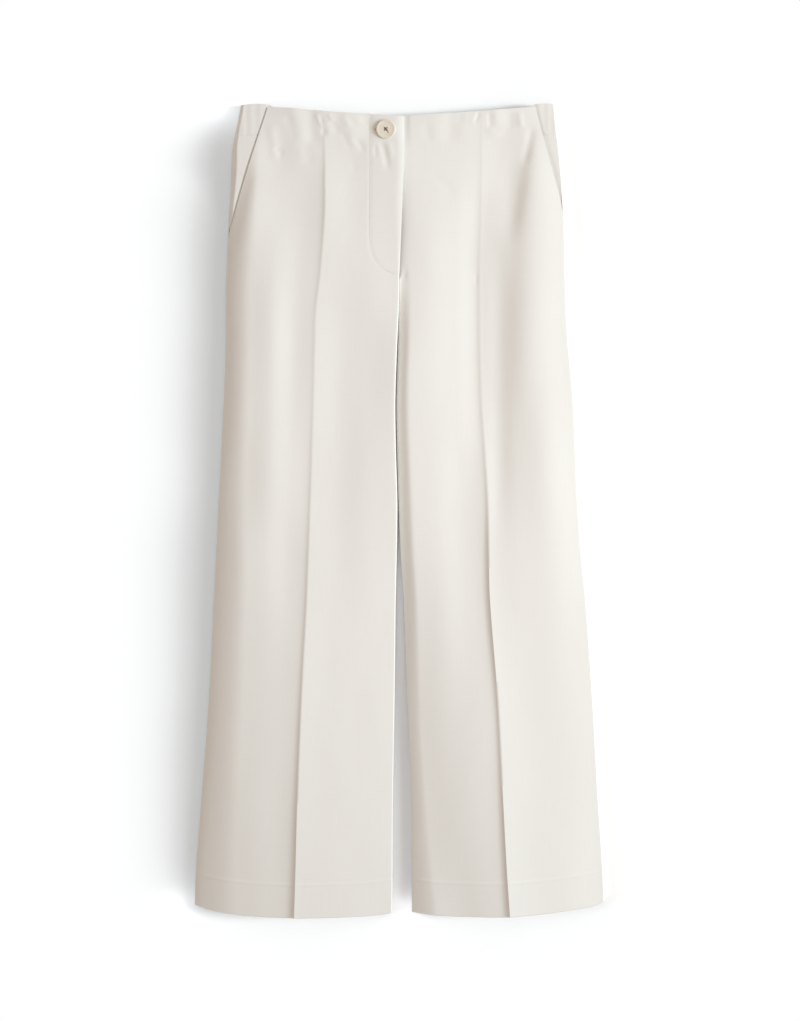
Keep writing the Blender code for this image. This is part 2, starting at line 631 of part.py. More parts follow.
def button(home, tools):
    """A turned four-hole button on its thread shank, which goes down through the buttonhole."""
    surface = Across("right", BUTTON_Y).height(BUTTON_X)
    low = surface + BUTTON_STAND
    high = low + BUTTON_THICK
    shield = surface - 2.0 * WALL - 2.0 * LAP_GAP
    form = bmesh.new()
    cylinder(form, BUTTON_RADIUS, low, high, 40)
    obj = new_object("button", mesh_from(form, "button"), (0.80, 0.75, 0.66), 0.35, home)
    round_edge = obj.modifiers.new("round_edge", "BEVEL")
    round_edge.width = 0.9 * MM
    round_edge.segments = 2
    round_edge.limit_method = "ANGLE"
    form = bmesh.new()
    bmesh.ops.create_uvsphere(form, u_segments=24, v_segments=16, radius=22.0 * MM)
    bmesh.ops.translate(form, verts=form.verts, vec=Vector((0.0, 0.0, high + 22.0 - 0.9)) * MM)
    cut(obj, cutter("button_dish", mesh_from(form, "button_dish"), tools))
    for k in range(4):
        turn = math.radians(45.0 + 90.0 * k)
        form = bmesh.new()
        spread = BUTTON_HOLE_SPREAD
        cylinder(form, BUTTON_HOLE_RADIUS, low - 1.0, high + 1.0, 12,
                 spread * math.cos(turn), spread * math.sin(turn))
        cut(obj, cutter(f"button_hole_{k + 1}", mesh_from(form, "button_hole"), tools))
    form = bmesh.new()
    cylinder(form, SHANK_RADIUS, shield + GAP, low + 0.5, 12)
    cut(obj, cutter("button_shank", mesh_from(form, "button_shank"), tools), "UNION")
    for tool in [change.object for change in obj.modifiers if change.type == "BOOLEAN"]:
        tool.location = (BUTTON_X * MM, BUTTON_Y * MM, 0.0)
    obj.location = (BUTTON_X * MM, BUTTON_Y * MM, 0.0)
    return obj


def buttonhole(panel, tools):
    """Cuts the slot in the right front that the button's shank goes through."""
    surface = Across("right", BUTTON_Y).height(BUTTON_X)
    form = bmesh.new()
    bmesh.ops.create_cube(form, size=1.0)
    bmesh.ops.scale(form, verts=form.verts, vec=Vector((SLOT_LENGTH, SLOT_WIDTH, 8.0)) * MM)
    tool = cutter("buttonhole", mesh_from(form, "buttonhole"), tools)
    tool.location = Vector((BUTTON_X + SLOT_SHIFT, BUTTON_Y, surface)) * MM
    cut(panel, tool)


def build():
    for obj in list(bpy.data.objects):
        bpy.data.objects.remove(obj)
    home = bpy.data.collections.new("culottes")
    tools = bpy.data.collections.new("cutters")
    for collection in (home, tools):
        bpy.context.scene.collection.children.link(collection)

    panel = front("right", home)
    front("left", home)
    back("right", home)
    back("left", home)
    waistband(home)
    pocket_piece("right", home)
    pocket_piece("left", home)
    below_front = WALL + LAP_GAP
    under_fly("zip", ZIP_COLUMNS, below_front, TOP - 8.0, FLY_FOOT + 6.0, WALL, home)
    under_fly("fly_shield", SHIELD_COLUMNS, 2.0 * below_front, TOP - 3.0, FLY_FOOT + 2.0,
              SHIELD_WALL, home)
    buttonhole(panel, tools)
    button(home, tools)


build()
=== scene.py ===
"""Looks for the wide cropped culottes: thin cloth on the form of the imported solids, with its sewing.

The garment lies on its back, waist towards +Y, front facing +Z. Right and left are the wearer's, so the
right leg lies on the -X side. Sizes are in millimetres where nothing else is said, and MM turns them
into metres.
"""

import math
from collections import namedtuple

import bmesh
import bpy
import numpy as np
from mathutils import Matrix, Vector


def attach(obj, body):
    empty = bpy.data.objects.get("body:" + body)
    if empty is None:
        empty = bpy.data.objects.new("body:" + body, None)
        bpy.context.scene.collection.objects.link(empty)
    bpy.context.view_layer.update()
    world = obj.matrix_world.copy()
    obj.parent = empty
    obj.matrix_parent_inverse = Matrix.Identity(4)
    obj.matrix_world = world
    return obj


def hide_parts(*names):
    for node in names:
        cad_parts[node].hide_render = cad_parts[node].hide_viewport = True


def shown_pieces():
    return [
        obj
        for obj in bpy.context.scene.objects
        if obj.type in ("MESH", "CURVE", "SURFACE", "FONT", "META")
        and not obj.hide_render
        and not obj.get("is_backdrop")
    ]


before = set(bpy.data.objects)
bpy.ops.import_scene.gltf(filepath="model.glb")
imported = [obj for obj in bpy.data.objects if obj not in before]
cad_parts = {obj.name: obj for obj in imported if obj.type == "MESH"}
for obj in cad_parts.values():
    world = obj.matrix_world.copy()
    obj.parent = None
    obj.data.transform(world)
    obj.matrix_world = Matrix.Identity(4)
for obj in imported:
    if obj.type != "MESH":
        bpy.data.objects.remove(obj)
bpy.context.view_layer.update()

MM = 0.001
scene = bpy.context.scene

# Cloth
WALL = 1.5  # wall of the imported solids
CLOTH = 0.8  # one layer of cloth
DOUBLE = 1.4  # cloth turned up on itself
GAP = 0.3
SEAM_AIR = 0.03  # air in the seam under the elastic casing
LAP_GAP = 0.4
REST_GAP = 0.25  # air between two layers of thin cloth that lie on each other

# Side seams and inseams
SEAM_HEIGHT = 4
SEAM_SETTLE = 1.2  # how much lower the seams lie at the hem
Fade = namedtuple("Fade", "start reach")
SEAM_SETTLED = Fade(-230, -240)
SEAM_LIP = 0.5

# Backs
BACK_ROLL = 8
BACK_FOLD = 0.9  # rise of the soft folds on both sides of a back's crease
BACK_FOLD_AWAY = 16
BACK_FOLD_HALF = 11
BACK_LIFT = 0.4
FORK_RISE = 40
CROTCH = 191

# Waist and hems
TOP = 471
BAND_HEIGHT = 36.5
BAND_WALL = 1.6
BAND_TUCK = 1.6
WAIST_FADE = 150
HEM_FADE = 120
HEM = -471
HEM_DEPTH = 38
HEM_RIDGE = 0.32
HEM_RIDGE_HALF = 1.7
HEM_STEP = 0.12

# Pressed creases: how fast the sharp ridge falls off towards -X and towards +X
CREASE_WEST = 5.6
CREASE_EAST = 26
CREASE_CUSP = 2.6  # the same for the crease's own thin line on its -X side
CREASE_SHARP = 0.42  # the part of the ridge that is in that line

# Fly
FLY_FOOT = 273
FLY_LAP = 3
FLY_SLOPE = 8
FLY_DIP = 2.7  # how much lower the left front runs beside the fly's edge
FLY_REACH = 9  # how fast that dies out across
FLY_TUCK = 0.6  # the same close to the edge
FLY_TUCK_REACH = 3.5
SHIELD_DROP = 1.5  # how much lower the shield hangs there
DIP_ABOVE = Fade(405, -90)
DIP_BELOW = Fade(150, 70)
FLY_TAPER = 12  # length over which the left front comes out from under the right one
ZIP_COLUMNS = (-14, -3.6)  # across the strips under the fly, from the fly's edge
SHIELD_COLUMNS = (-27, -14, -3.6, 2, 9)
SHIELD_WALL = 1

# Slant pockets
POCKET_LAP = 10
POCKET_FOOT = 300
POCKET_NARROW = 8
POCKET_HIDE = {"right": 0.12, "left": 0}  # how far round the side the piece stops below the mouth
POCKET_SINK = 0.8
MOUTH_PRESS = {"right": 0.7, "left": 1.1}  # how much deeper the piece below is pressed at the mouth
MOUTH_PRESS_HALF = 1.4

# Gathers of the elastic casing
GATHER_PITCH = 8.5
GATHER_RISE = 0.3
GATHER_SHOWN = 0.22  # how strong the gathers are beside the pocket mouths

# Button
BUTTON_X = -15.9
BUTTON_Y = 440.7
BUTTON_RADIUS = 11.3
BUTTON_THICK = 2.2
BUTTON_FLOAT = 0.35
BUTTON_HOLE_RADIUS = 1
BUTTON_HOLE_SPREAD = 1.9
SHANK_RADIUS = 0.8
BUTTON_DISH = 0.45  # how deep the face is sunk, over the flat middle
BUTTON_FLAT = 3.4
RIM_TO_DISH = ((1.5, 0.02), (2, 0.08), (2.6, 0.18), (3.4, 0.3), (4.6, 0.36))
STRAND_SHIFTS = (-0.3, 0.05, 0.38)
LOOSE_END = ((1.4, -1.6, -0.1), (3.4, -4.9, 0.15))  # of the thread, from the face's middle
HOLE_LENGTH = 21
HOLE_SHIFT = 2.2  # how far the buttonhole's middle lies from the button's, towards -X

# Cloth details
FOLD_TAPER = 0.3  # the share of a fold over which each end dies out
UNEVEN = 0.22
BACK_UNEVEN = 0.5
DRAWS = {"right": 11, "left": 12, "back": 31}  # seeds of the unevenness
GROOVE_DEPTH = 0.35
GROOVE_HALF = 1.3
THREAD_PITCHES = (0.00052, 0.0006)  # of the weave, in metres


def listed(kind, *table):
    """A table whose rows have named columns."""
    return tuple(kind(*row) for row in table)


# The outline: both side seams and creases, the centre line and the width of the split between the legs
Section = namedtuple("Section", "y right_side right_crease centre split left_crease left_side")
SECTIONS = listed(Section,
    (470, -183.9, -88.5, 5.2, 0.3, 95.8, 179.8),
    (440, -189.8, -87.5, 5.8, 0.3, 95.6, 182.8),
    (417, -194.3, -86.4, 5.8, 0.3, 95.4, 185.6),
    (383, -195.6, -86.2, 4.6, 0.3, 95.2, 188.6),
    (340, -197.9, -86.6, 2.8, 0.3, 94.2, 191.4),
    (272, -201.3, -91.9, 0, 0.3, 92.8, 193.1),
    (232, -201.8, -96.8, -0.6, 0.3, 92.8, 194.1),
    (191, -201.8, -98.2, -2.3, 0.6, 93.2, 196.6),
    (127, -204.2, -99.5, -4.3, 0.8, 94.9, 202.3),
    (69, -207.1, -101.3, -3.6, 0.8, 98.8, 204.7),
    (11, -210, -103.1, -1.9, 1, 102.2, 207.2),
    (-47, -212.9, -105.2, -0.9, 4.2, 103.2, 211.2),
    (-105, -215.8, -107.3, 0.4, 9.3, 104.7, 216.9),
    (-221, -221.6, -113.4, 1.8, 14.8, 113.7, 225),
    (-337, -230.3, -117.9, 2.9, 20.8, 119.7, 231.4),
    (-418, -236.6, -120, 3, 22, 124, 236.7),
    (-471, -238.4, -121.6, 3, 22.9, 127.6, 238.4))

# Heights of each front above the floor at places across it, from the outer side to the crease and on
# to the inner side, with the width of its inner edge's rounding and the height of the pressed ridge
Loft = namedtuple("Loft", "y outer outer_mid outer_near crest inner_near inner_mid inner roll ridge")
LOFTS = {
    "right": listed(Loft,
        (470, 8.6, 10.4, 11.2, 11.2, 11, 10.7, 10.4, 10, 0.2),
        (446, 11.4, 11.6, 11.9, 11.8, 11.4, 11.8, 13, 9.5, 0.5),
        (417, 14.6, 12.9, 13.9, 12.8, 12.6, 13.6, 14.9, 8.5, 1.1),
        (383, 17.2, 15.2, 14.6, 14.8, 14.2, 14.8, 16, 7, 1.8),
        (342, 18.4, 15.9, 14.4, 15.4, 14.6, 15.3, 16.2, 5.5, 1.9),
        (296, 18.2, 17.5, 14.8, 15.6, 15, 15.3, 15.9, 4.5, 1.5),
        (243, 17.9, 18.9, 15.6, 15.7, 14.8, 15.6, 16.2, 5.5, 1.3),
        (185, 18.6, 19.6, 15.7, 15.7, 13.8, 15.1, 17.4, 5.5, 1.2),
        (116, 18.5, 19.7, 16.4, 15.6, 14.2, 15.9, 17.8, 5.5, 1.2),
        (35, 17.8, 19.8, 17.4, 16, 15.2, 17, 17.2, 5.5, 1.5),
        (-58, 19.9, 20.3, 18.4, 18.4, 16.9, 17.2, 16.1, 5.5, 2),
        (-163, 19.9, 20.9, 20.8, 21.2, 19.2, 16.9, 14.6, 5.5, 2.5),
        (-267, 19.9, 21.1, 21.5, 22, 20.2, 17.3, 14, 5.5, 3),
        (-371, 19.2, 20.8, 21.6, 22.2, 20.6, 17.6, 13.6, 5.5, 3.6),
        (-471, 18.3, 20.1, 21.2, 21.8, 20.6, 17.6, 13.8, 5.5, 4.2)),
    "left": listed(Loft,
        (470, 10.4, 10.6, 10.6, 10.6, 10.8, 11, 10.6, 12, 0.2),
        (446, 12.9, 12.5, 11.1, 10.8, 11.2, 11.6, 11.5, 12, 0.3),
        (417, 14.4, 14.9, 11.5, 11, 11.5, 12.2, 12.8, 12, 0.4),
        (383, 16, 17.2, 12, 10.9, 12.1, 13.2, 13.9, 12, 0.5),
        (342, 17.2, 18.6, 13, 9.5, 12.2, 13.9, 14.6, 12, 0.6),
        (296, 17.8, 19.4, 13.8, 8.9, 11.8, 14.2, 14.8, 12, 0.7),
        (243, 17.8, 19.7, 14.2, 8.8, 11.8, 14.1, 15, 13, 0.9),
        (185, 17.6, 19.5, 14.3, 9.1, 11.7, 14.4, 15.4, 14, 1.1),
        (116, 17, 19.2, 14.6, 9.9, 11.9, 14.6, 15.4, 15, 1.3),
        (35, 15.6, 18.4, 15.6, 12, 11.8, 14.4, 15.4, 16, 2),
        (-58, 14.4, 17, 16.3, 13.9, 13.3, 14.8, 14.6, 16, 3.6),
        (-163, 13.4, 15.9, 16.2, 16.2, 15.8, 15.6, 12.8, 16, 3.7),
        (-267, 12.6, 15.6, 16.8, 18.4, 18.2, 15.8, 11, 16, 3.2),
        (-371, 12, 15.8, 17.6, 19.8, 19, 15.8, 11.9, 20, 4),
        (-471, 11.2, 15.8, 18.6, 20.6, 19.4, 15.8, 13.6, 28, 4.6)),
}
LOFT_COLUMNS = Loft._fields[1:8]
SIDE_ROLL = 2.4  # width of the left side seam's turned edge
SIDE_ROUND = {"right": 0.35, "left": 1}  # 1 for a turned edge, 0 for a ramp that levels out
INNER_ROUND = {"right": 1, "left": 0.2}
PRESSED_ROLL = 1.5  # width of the right front's pressed inner edge
PRESSED_TURN = 0.42  # below 1 an edge turns down more sharply, above 1 more softly
FLY_ROLL = 8  # width of the soft turn at the fly's edge
FLY_TURN = 2
PRESSED_ABOVE = Fade(250, 120)  # where the pressed edge gives way to the soft one

# The slope up from the right side seam: how soon it levels out, and its width
Slope = namedtuple("Slope", "y power width")
RAMP = listed(Slope,
    (470, 1.8, 30), (191, 1.8, 30), (11, 1.65, 33),
    (-105, 1.5, 37), (-337, 1.35, 42), (-471, 1.2, 48))

# Height of the centre seam and of the fly's edge
Level = namedtuple("Level", "y height")
CENTRE = listed(Level,
    (470, 9.9), (440, 11.9), (417, 13.8), (383, 15), (320, 15.2),
    (272, 13.6), (232, 9.2), (191, 4.65), (-471, 4.65))

# Where the slant pockets' mouths cross the fronts
Mouth = namedtuple("Mouth", "y right left")
MOUTHS = listed(Mouth,
    (471, -151.6, 157),
    (455, -156.5, 160.4),
    (423, -166.8, 168.8),
    (386, -178.6, 178.9),
    (360, -186.3, 185.8),
    (337, -192.8, 189.6),
    (321, -197.8, 191))

# Widths of the right hip piece's fall to the side seam
Shelf = namedtuple("Shelf", "y width")
SHELF = listed(Shelf, (471, 4), (440, 4.5), (405, 7.5), (380, 7), (350, 5))
MOUTH_FOOT = 321
MOUTH_BLEND = 15
MOUTH_LIFT = 0.6
MOUTH_STATION = 1.55

Edge = namedtuple("Edge", "x y")
FRONT_TOP = listed(Edge,
    (-184, 467), (-152, 467), (-130, 466), (-76, 461.4),
    (-22, 458), (5, 456.6), (30, 458.2), (85, 461.6),
    (140, 466), (158, 467), (180, 467))
BAND_TOP = listed(Edge,
    (-184, 469.6), (-166, 471), (-150, 469.6), (-128, 466),
    (-76, 461.4), (-22, 458), (5, 456.6), (30, 458.2),
    (85, 461.6), (138, 466), (154, 469.6), (168, 471),
    (180, 469.6))
HEM_EDGE = listed(Edge,
    (-238.4, -458.5), (-222, -463), (-199, -466.6), (-172, -469.2),
    (-129, -471), (-79, -471), (-28, -469), (-9, -466.6),
    (3, -466.2), (14.5, -466.6), (34, -468.9), (70, -470.4),
    (116, -470.6), (141, -469), (171, -466.6), (197, -463.2),
    (222, -459.6), (232, -456.6), (238.4, -452.8))

# Folds of the fronts and then the small wrinkles, each along a line that may bow to one side: rise below
# 0 is a trough, and west and east are its half widths towards -X and +X
Fold = namedtuple("Fold", "x0 y0 x1 y1 rise west east bow")
FOLDS = {
    "right": listed(
        Fold,
        (-124, 475, -118, 420, 1.1, 9, 9, 0), (-104, 475, -100, 415, -1, 8, 8, 0),
        (-62, 470, -52, 412, 1, 9, 9, 0), (-38, 465, -34, 425, -0.9, 7, 7, 0),
        (-172, 408, -200, 290, -1.8, 12, 9, 0),
        (-98.5, 461, -88, 438, 0.9, 2.2, 3.4, 0.8), (-93.5, 458, -86.5, 430, -1, 3, 3.2, 1),
        (-84, 460, -76.5, 449, 0.6, 2.4, 3, 0.4), (-80, 452, -72, 432, -0.5, 4, 5, 1.5),
        (-66, 458, -58, 441, 0.4, 2.2, 2.6, 0.4), (-62, 458.5, -52, 442, -0.45, 2.6, 3, 1),
        (-48.5, 458, -45.5, 446, 0.5, 1.4, 1.8, 0), (-53, 432, -41.5, 412, -0.7, 2, 2.8, 1.4),
        (-69, 440, -57, 413, -0.5, 2.6, 3.4, 1.4), (-54.5, 408, -52.5, 388, -0.25, 1.8, 2.2, 0),
        (-22.8, 430, -13.5, 390, -1, 2.6, 3.4, 1.6), (-28.6, 424, -27.6, 406, -0.45, 1.6, 2.2, 0),
        (-14, 428, -9.5, 404, 0.5, 2.6, 3, 0.8), (-146, 419, -135, 408, -0.7, 3, 4.5, 1),
        (-132, 462, -120, 424, -0.8, 6, 8, 2), (-150, 452, -142, 400, 0.6, 5, 6, 0),
        (-112, 430, -104, 396, -0.5, 6, 7, 1)),
    "left": listed(
        Fold,
        (150, 450, 123, 296, -1.6, 15, 10, 0), (117, 350, 116, -70, -1.9, 12, 13, 0),
        (146, 440, 144, 60, 0.8, 13, 13, 0), (112, 475, 110, 425, 1, 9, 9, 0),
        (60, 470, 58, 420, -0.8, 10, 10, 0),
        (92, 462, 86, 448, -0.5, 1.8, 2.6, 0.4), (89, 461.5, 83, 446, 0.45, 2, 2, 0.4),
        (103.5, 463, 104.5, 440, -0.75, 2.2, 3.4, 0.6), (110, 452, 111.5, 434, -0.35, 3, 3.6, 0.4),
        (126.5, 464, 128, 440, -0.4, 3, 4, 0), (138, 463, 142, 440, 0.6, 4, 4, 0),
        (71, 461, 69, 447, -0.4, 2.6, 3, 0), (30, 452, 34, 424, -0.35, 5, 6, 0),
        (33, 392, 66, 360, -0.25, 6, 6, 2), (154, 448, 143, 396, -0.9, 5, 5, 1),
        (88.6, 276, 88.2, 258, -0.3, 1.4, 2, 0)),
}

# The line of stitches that holds the fly, from the waist to the fly's foot
STITCH_LINE = listed(Edge,
    (-34, 455), (-34, 380), (-34, 306), (-29.6, 292),
    (-22.6, 282.1), (-15.7, 277.5), (-9.9, 274.6), (-4.5, 273))

# How close the rows and columns of the cloth's grid lie
Stretch = namedtuple("Stretch", "start end steps")
FRONT_ROWS = listed(Stretch,
    (471, 420, 34), (420, 321, 40), (321, 306, 10),
    (306, 262, 28), (262, -420, 200), (-420, -445, 22),
    (-445, -471, 14))
FRONT_STATIONS = listed(Stretch,
    (-1, 0, 2), (0, 1, 14), (1, 1.55, 12), (1.55, 1.9, 9),
    (1.9, 2, 6), (2, 2.1, 6), (2.1, 2.55, 12), (2.55, 2.75, 10),
    (2.75, 3, 8), (3, 4, 14), (4, 5, 1))
MOUTH_COLUMNS = 28
BACK_ROWS = listed(Stretch, (433, 181, 50), (181, -420, 90), (-420, -471, 20))
BACK_STATIONS = listed(Stretch, (-1, 0, 1), (0, 1, 8), (1, 3, 60), (3, 4, 8), (4, 5, 1))
BACK_TOP = 433
# Towards the middle from each side, along X
TOWARDS = {"right": 1, "left": -1}


# Numbers

def between(low, high, share):
    return low + (high - low) * share


def eased(share):
    """0 up to 0 and 1 from 1 on, with a soft start and end."""
    share = np.clip(share, 0, 1)
    return share * share * (3 - 2 * share)


def fading(fade, y):
    """0 before a fade's start and 1 past its reach, which goes down where it is below 0."""
    return eased((y - fade.start) / fade.reach)


def cubic(places, values, k, before, after, at):
    """The smooth curve through knots, between knot k and the next."""
    span = places[k + 1] - places[k]
    share = np.clip((at - places[k]) / span, 0, 1)
    lead = (values[k + 1] - values[before]) / (places[k + 1] - places[before]) * span
    tail = (values[after] - values[k]) / (places[after] - places[k]) * span
    square, cube = share ** 2, share ** 3
    return (values[k] * (2 * cube - 3 * square + 1) + lead * (cube - 2 * square + share)
            + values[k + 1] * (3 * square - 2 * cube) + tail * (cube - square))


def curve_through(places, values, at):
    """Values on the smooth curve through knots, whose places go up."""
    places, values = np.array(places, float), np.array(values, float)
    last = len(places) - 1
    k = np.clip(np.searchsorted(places, at, side="left") - 1, 0, last - 1)
    return cubic(places, values, k, np.maximum(k - 1, 0), np.minimum(k + 2, last), at)


def curve_across(places, values, at):
    """The same curve where every point has its own knots: places and values are lists of arrays."""
    total = np.zeros(np.broadcast(at, places[0]).shape)
    last = len(places) - 1
    for k in range(last):
        value = cubic(places, values, k, max(k - 1, 0), min(k + 2, last), at)
        total = np.where((at >= places[k]) | (k == 0), value, total)
    return total


def column_at(table, column, y):
    """A column of a table of sections, read at heights y."""
    return curve_through([-row.y for row in table], [getattr(row, column) for row in table], -y)


def edge_at(edge, x):
    """Heights y of an edge that runs across, read at x."""
    return curve_through([point.x for point in edge], [point.y for point in edge], x)


def spread_over(stretches):
    """All the places that a table of stretches names, from its first start to its last end."""
    places = [stretches[0].start]
    for stretch in stretches:
        places += list(np.linspace(stretch.start, stretch.end, stretch.steps + 1)[1:])
    return np.array(places)


def seam_height(y):
    """Height of the seams between fronts and backs, which settle towards the hem."""
    return SEAM_HEIGHT - SEAM_SETTLE * fading(SEAM_SETTLED, y)


def sampled(line, step):
    """Evenly spaced points on the smooth curve through a line's points, and the directions there."""
    knots = np.array([(point.x, point.y) for point in line])
    run = np.concatenate([[0], np.cumsum(np.hypot(*np.diff(knots, axis=0).T))])
    at = np.arange(0, run[-1], step)
    points = np.stack([curve_through(run, knots[:, k], at) for k in (0, 1)], axis=1)
    ahead = np.gradient(points, axis=0)
    return points, ahead / np.linalg.norm(ahead, axis=1, keepdims=True)


# The form of the fronts

def fold_height(leg, x, y):
    """What the folds and wrinkles add at points of a front."""
    total = np.zeros(np.broadcast(x, y).shape)
    for fold in FOLDS[leg]:
        run_x, run_y = fold.x1 - fold.x0, fold.y1 - fold.y0
        length = math.hypot(run_x, run_y)
        along = ((x - fold.x0) * run_x + (y - fold.y0) * run_y) / length ** 2
        aside = ((x - fold.x0) * -run_y + (y - fold.y0) * run_x) / length
        share = np.clip(along, 0, 1)
        aside = aside - fold.bow * 4 * share * (1 - share)
        half = np.where(aside < 0, fold.west, fold.east)
        taper = eased(along / FOLD_TAPER) * eased((1 - along) / FOLD_TAPER)
        total += fold.rise * taper * np.exp(-(aside / half) ** 2)
    return total


def stitch_groove(x, y):
    """How deep the fly's line of stitches pulls the cloth in."""
    points, _ = sampled(STITCH_LINE, 2)
    near = np.min([np.hypot(x - px, y - py) for px, py in points], axis=0)
    return GROOVE_DEPTH * np.exp(-(near / GROOVE_HALF) ** 2)


def hem_ridge(x, y):
    """The turned-up hem's edge, pressed through to the outside, and the thicker cloth below it."""
    above = y - edge_at(HEM_EDGE, x) - HEM_DEPTH
    return HEM_RIDGE * np.exp(-(above / HEM_RIDGE_HALF) ** 2) + HEM_STEP * eased(-above / 4)


def fly_dip(y):
    """1 where the left front dips beside the fly, and 0 far above and below."""
    return fading(DIP_ABOVE, y) * fading(DIP_BELOW, y)


class Leg:
    """Where the side, the crease and the inner edge of one front are at heights y."""

    def __init__(self, leg, y):
        self.leg = leg
        self.y = y
        self.towards = TOWARDS[leg]
        self.side = column_at(SECTIONS, f"{leg}_side", y)
        self.crease = column_at(SECTIONS, f"{leg}_crease", y)
        half_split = np.maximum(column_at(SECTIONS, "split", y), GAP) / 2
        self.edge = self.back_edge = column_at(SECTIONS, "centre", y) - self.towards * half_split
        self.ramp = column_at(RAMP, "power", y)
        self.foot = seam_height(y) + GAP / 2
        centre = column_at(CENTRE, "height", y) - (SEAM_HEIGHT - seam_height(y))
        self.centre = np.maximum(centre, self.foot + SEAM_LIP)
        self.heights = [column_at(LOFTS[leg], column, y) for column in LOFT_COLUMNS]
        self.ridge = column_at(LOFTS[leg], "ridge", y)
        self.inner_roll = column_at(LOFTS[leg], "roll", y)
        self.lift = MOUTH_LIFT * eased((y - MOUTH_FOOT + 2 * MOUTH_BLEND) / MOUTH_BLEND)
        self.mouth = column_at(MOUTHS, leg, y)
        self.shown = (self.mouth - self.side) * self.towards
        if leg == "right":
            self.side_roll, self.side_turn = column_at(RAMP, "width", y), 1
            soft = fading(PRESSED_ABOVE, y)
            self.inner_roll = between(PRESSED_ROLL, np.maximum(self.inner_roll, FLY_ROLL), soft)
            self.inner_turn = between(PRESSED_TURN, FLY_TURN, soft)
            self.under = np.zeros_like(self.side)
        else:
            self.side_roll, self.side_turn = SIDE_ROLL, PRESSED_TURN
            self.inner_turn = 1
            self.under = eased((y - FLY_FOOT + FLY_TAPER) / FLY_TAPER)
            self.shown_edge = self.edge
            self.dip = fly_dip(y)
            self.edge = self.edge - FLY_LAP * np.clip((y - FLY_FOOT) / FLY_TAPER, 0, 1)

    def outside(self, x):
        """How far places x lie outside the pocket's mouth."""
        return (self.mouth - x) * self.towards

    def place_across(self, share):
        """Places x at a share of the open part: 0 at the side roll, 1 at the crease, 2 at the inner."""
        if share < 1:
            return between(self.side + self.towards * self.side_roll, self.crease, share)
        return between(self.crease, self.edge - self.towards * self.inner_roll, share - 1)

    def height(self, x):
        """Height of the open part of the front, before its edges roll down."""
        away = abs(x - self.crease)
        west = between(np.exp(-away / CREASE_WEST), np.exp(-away / CREASE_CUSP), CREASE_SHARP)
        ridge = self.ridge * np.where(x < self.crease, west, np.exp(-away / CREASE_EAST))
        places = [self.place_across(k / 3) for k in range(len(LOFT_COLUMNS))]
        order = 1 if self.leg == "right" else -1
        base = curve_across(places[::order], self.heights[::order], x)
        if self.leg == "left":
            beside = np.maximum(x - self.shown_edge, 0)
            tuck = FLY_TUCK * np.exp(-beside / FLY_TUCK_REACH)
            base = base - self.dip * (FLY_DIP * np.exp(-beside / FLY_REACH) + tuck)
        return base + ridge + fold_height(self.leg, x, self.y)

    def point(self, station):
        """Places x and heights z of the outer face at stations."""
        station = station + 0 * self.side
        towards, foot = self.towards, self.foot + self.lift
        turn, inward = edge_turns(station)
        on_side = self.side + towards * self.side_roll * (1 - np.cos(turn))
        outer = between(self.side + towards * self.side_roll, self.crease, station - 1)
        inner = between(self.crease, self.edge - towards * self.inner_roll, station - 2)
        on_edge = self.edge - towards * self.inner_roll * (1 - np.sin(inward))
        x = np.select([station < 1, station < 2, station < 3], [on_side, outer, inner], on_edge)
        surface = self.height(x)
        level = np.sin(turn) ** self.side_turn
        rise = between(1 - np.cos(turn) ** self.ramp, level, SIDE_ROUND[self.leg])
        z = between(foot + SEAM_LIP, surface, rise) - SEAM_LIP * np.clip(-station, 0, 1)
        level = np.maximum(np.cos(inward), 0) ** self.inner_turn
        rise = between(1 - np.sin(inward) ** self.ramp, level, INNER_ROUND[self.leg])
        edge_z = between(self.centre, surface, rise) - SEAM_LIP * np.clip(station - 4, 0, 1)
        lowest = np.minimum(self.centre - CLOTH - REST_GAP, surface)
        dipped = between(lowest, surface, eased((x - self.edge - FLY_LAP) / FLY_SLOPE))
        return x, np.where(station < 3, z, between(edge_z, dipped, self.under))


def station_of(leg, x):
    """Stations of places between the side seam and the crease."""
    reach = (x - leg.side) * leg.towards
    rolled = np.arccos(1 - np.clip(reach, 0, leg.side_roll) / leg.side_roll) / (math.pi / 2)
    span = (leg.crease - leg.side) * leg.towards - leg.side_roll
    return np.where(reach < leg.side_roll, rolled, 1 + (reach - leg.side_roll) / span)


def edge_turns(station):
    """Quarter turns, in radians, of the edges at the side and at the middle."""
    return (math.pi / 2 * np.clip(station - start, 0, 1) for start in (0, 3))


def thickness(x, y):
    """One layer of cloth, and two below the turned-up hem's edge."""
    return between(CLOTH, DOUBLE, eased((HEM_DEPTH + 1 - (y - edge_at(HEM_EDGE, x))) / 2))


def bent(level, x, top_edge, top):
    """Heights y of a row at x: rows follow the waist edge near the top and the hem near the foot."""
    near_top = np.maximum(1 - (top - level) / WAIST_FADE, 0)
    near_hem = np.maximum(1 - (level - HEM) / HEM_FADE, 0)
    return (level + (edge_at(top_edge, x) - top) * near_top
            + (edge_at(HEM_EDGE, x) - HEM) * near_hem)


def moved_in(name, station, y, depth):
    """Points under the outer face of a front, at a depth measured square to it."""
    step = 0.02

    def at(s, h):
        x, z = Leg(name, h).point(s)
        return np.stack([x, h + 0 * x, z], axis=-1)

    point = at(station, y)
    across = at(station + step, y) - at(station - step, y)
    along = at(station, y + 0.5) - at(station, y - 0.5)
    normal = np.cross(across, along) * TOWARDS[name]
    normal /= np.linalg.norm(normal, axis=-1, keepdims=True)
    return point - normal * np.expand_dims(depth, -1)


# Thin shells of cloth

def normals_of(points):
    """Directions out of a grid of points."""
    facing = np.cross(np.gradient(points, axis=1), np.gradient(points, axis=0))
    return facing / np.maximum(np.linalg.norm(facing, axis=-1, keepdims=True), 1e-9)


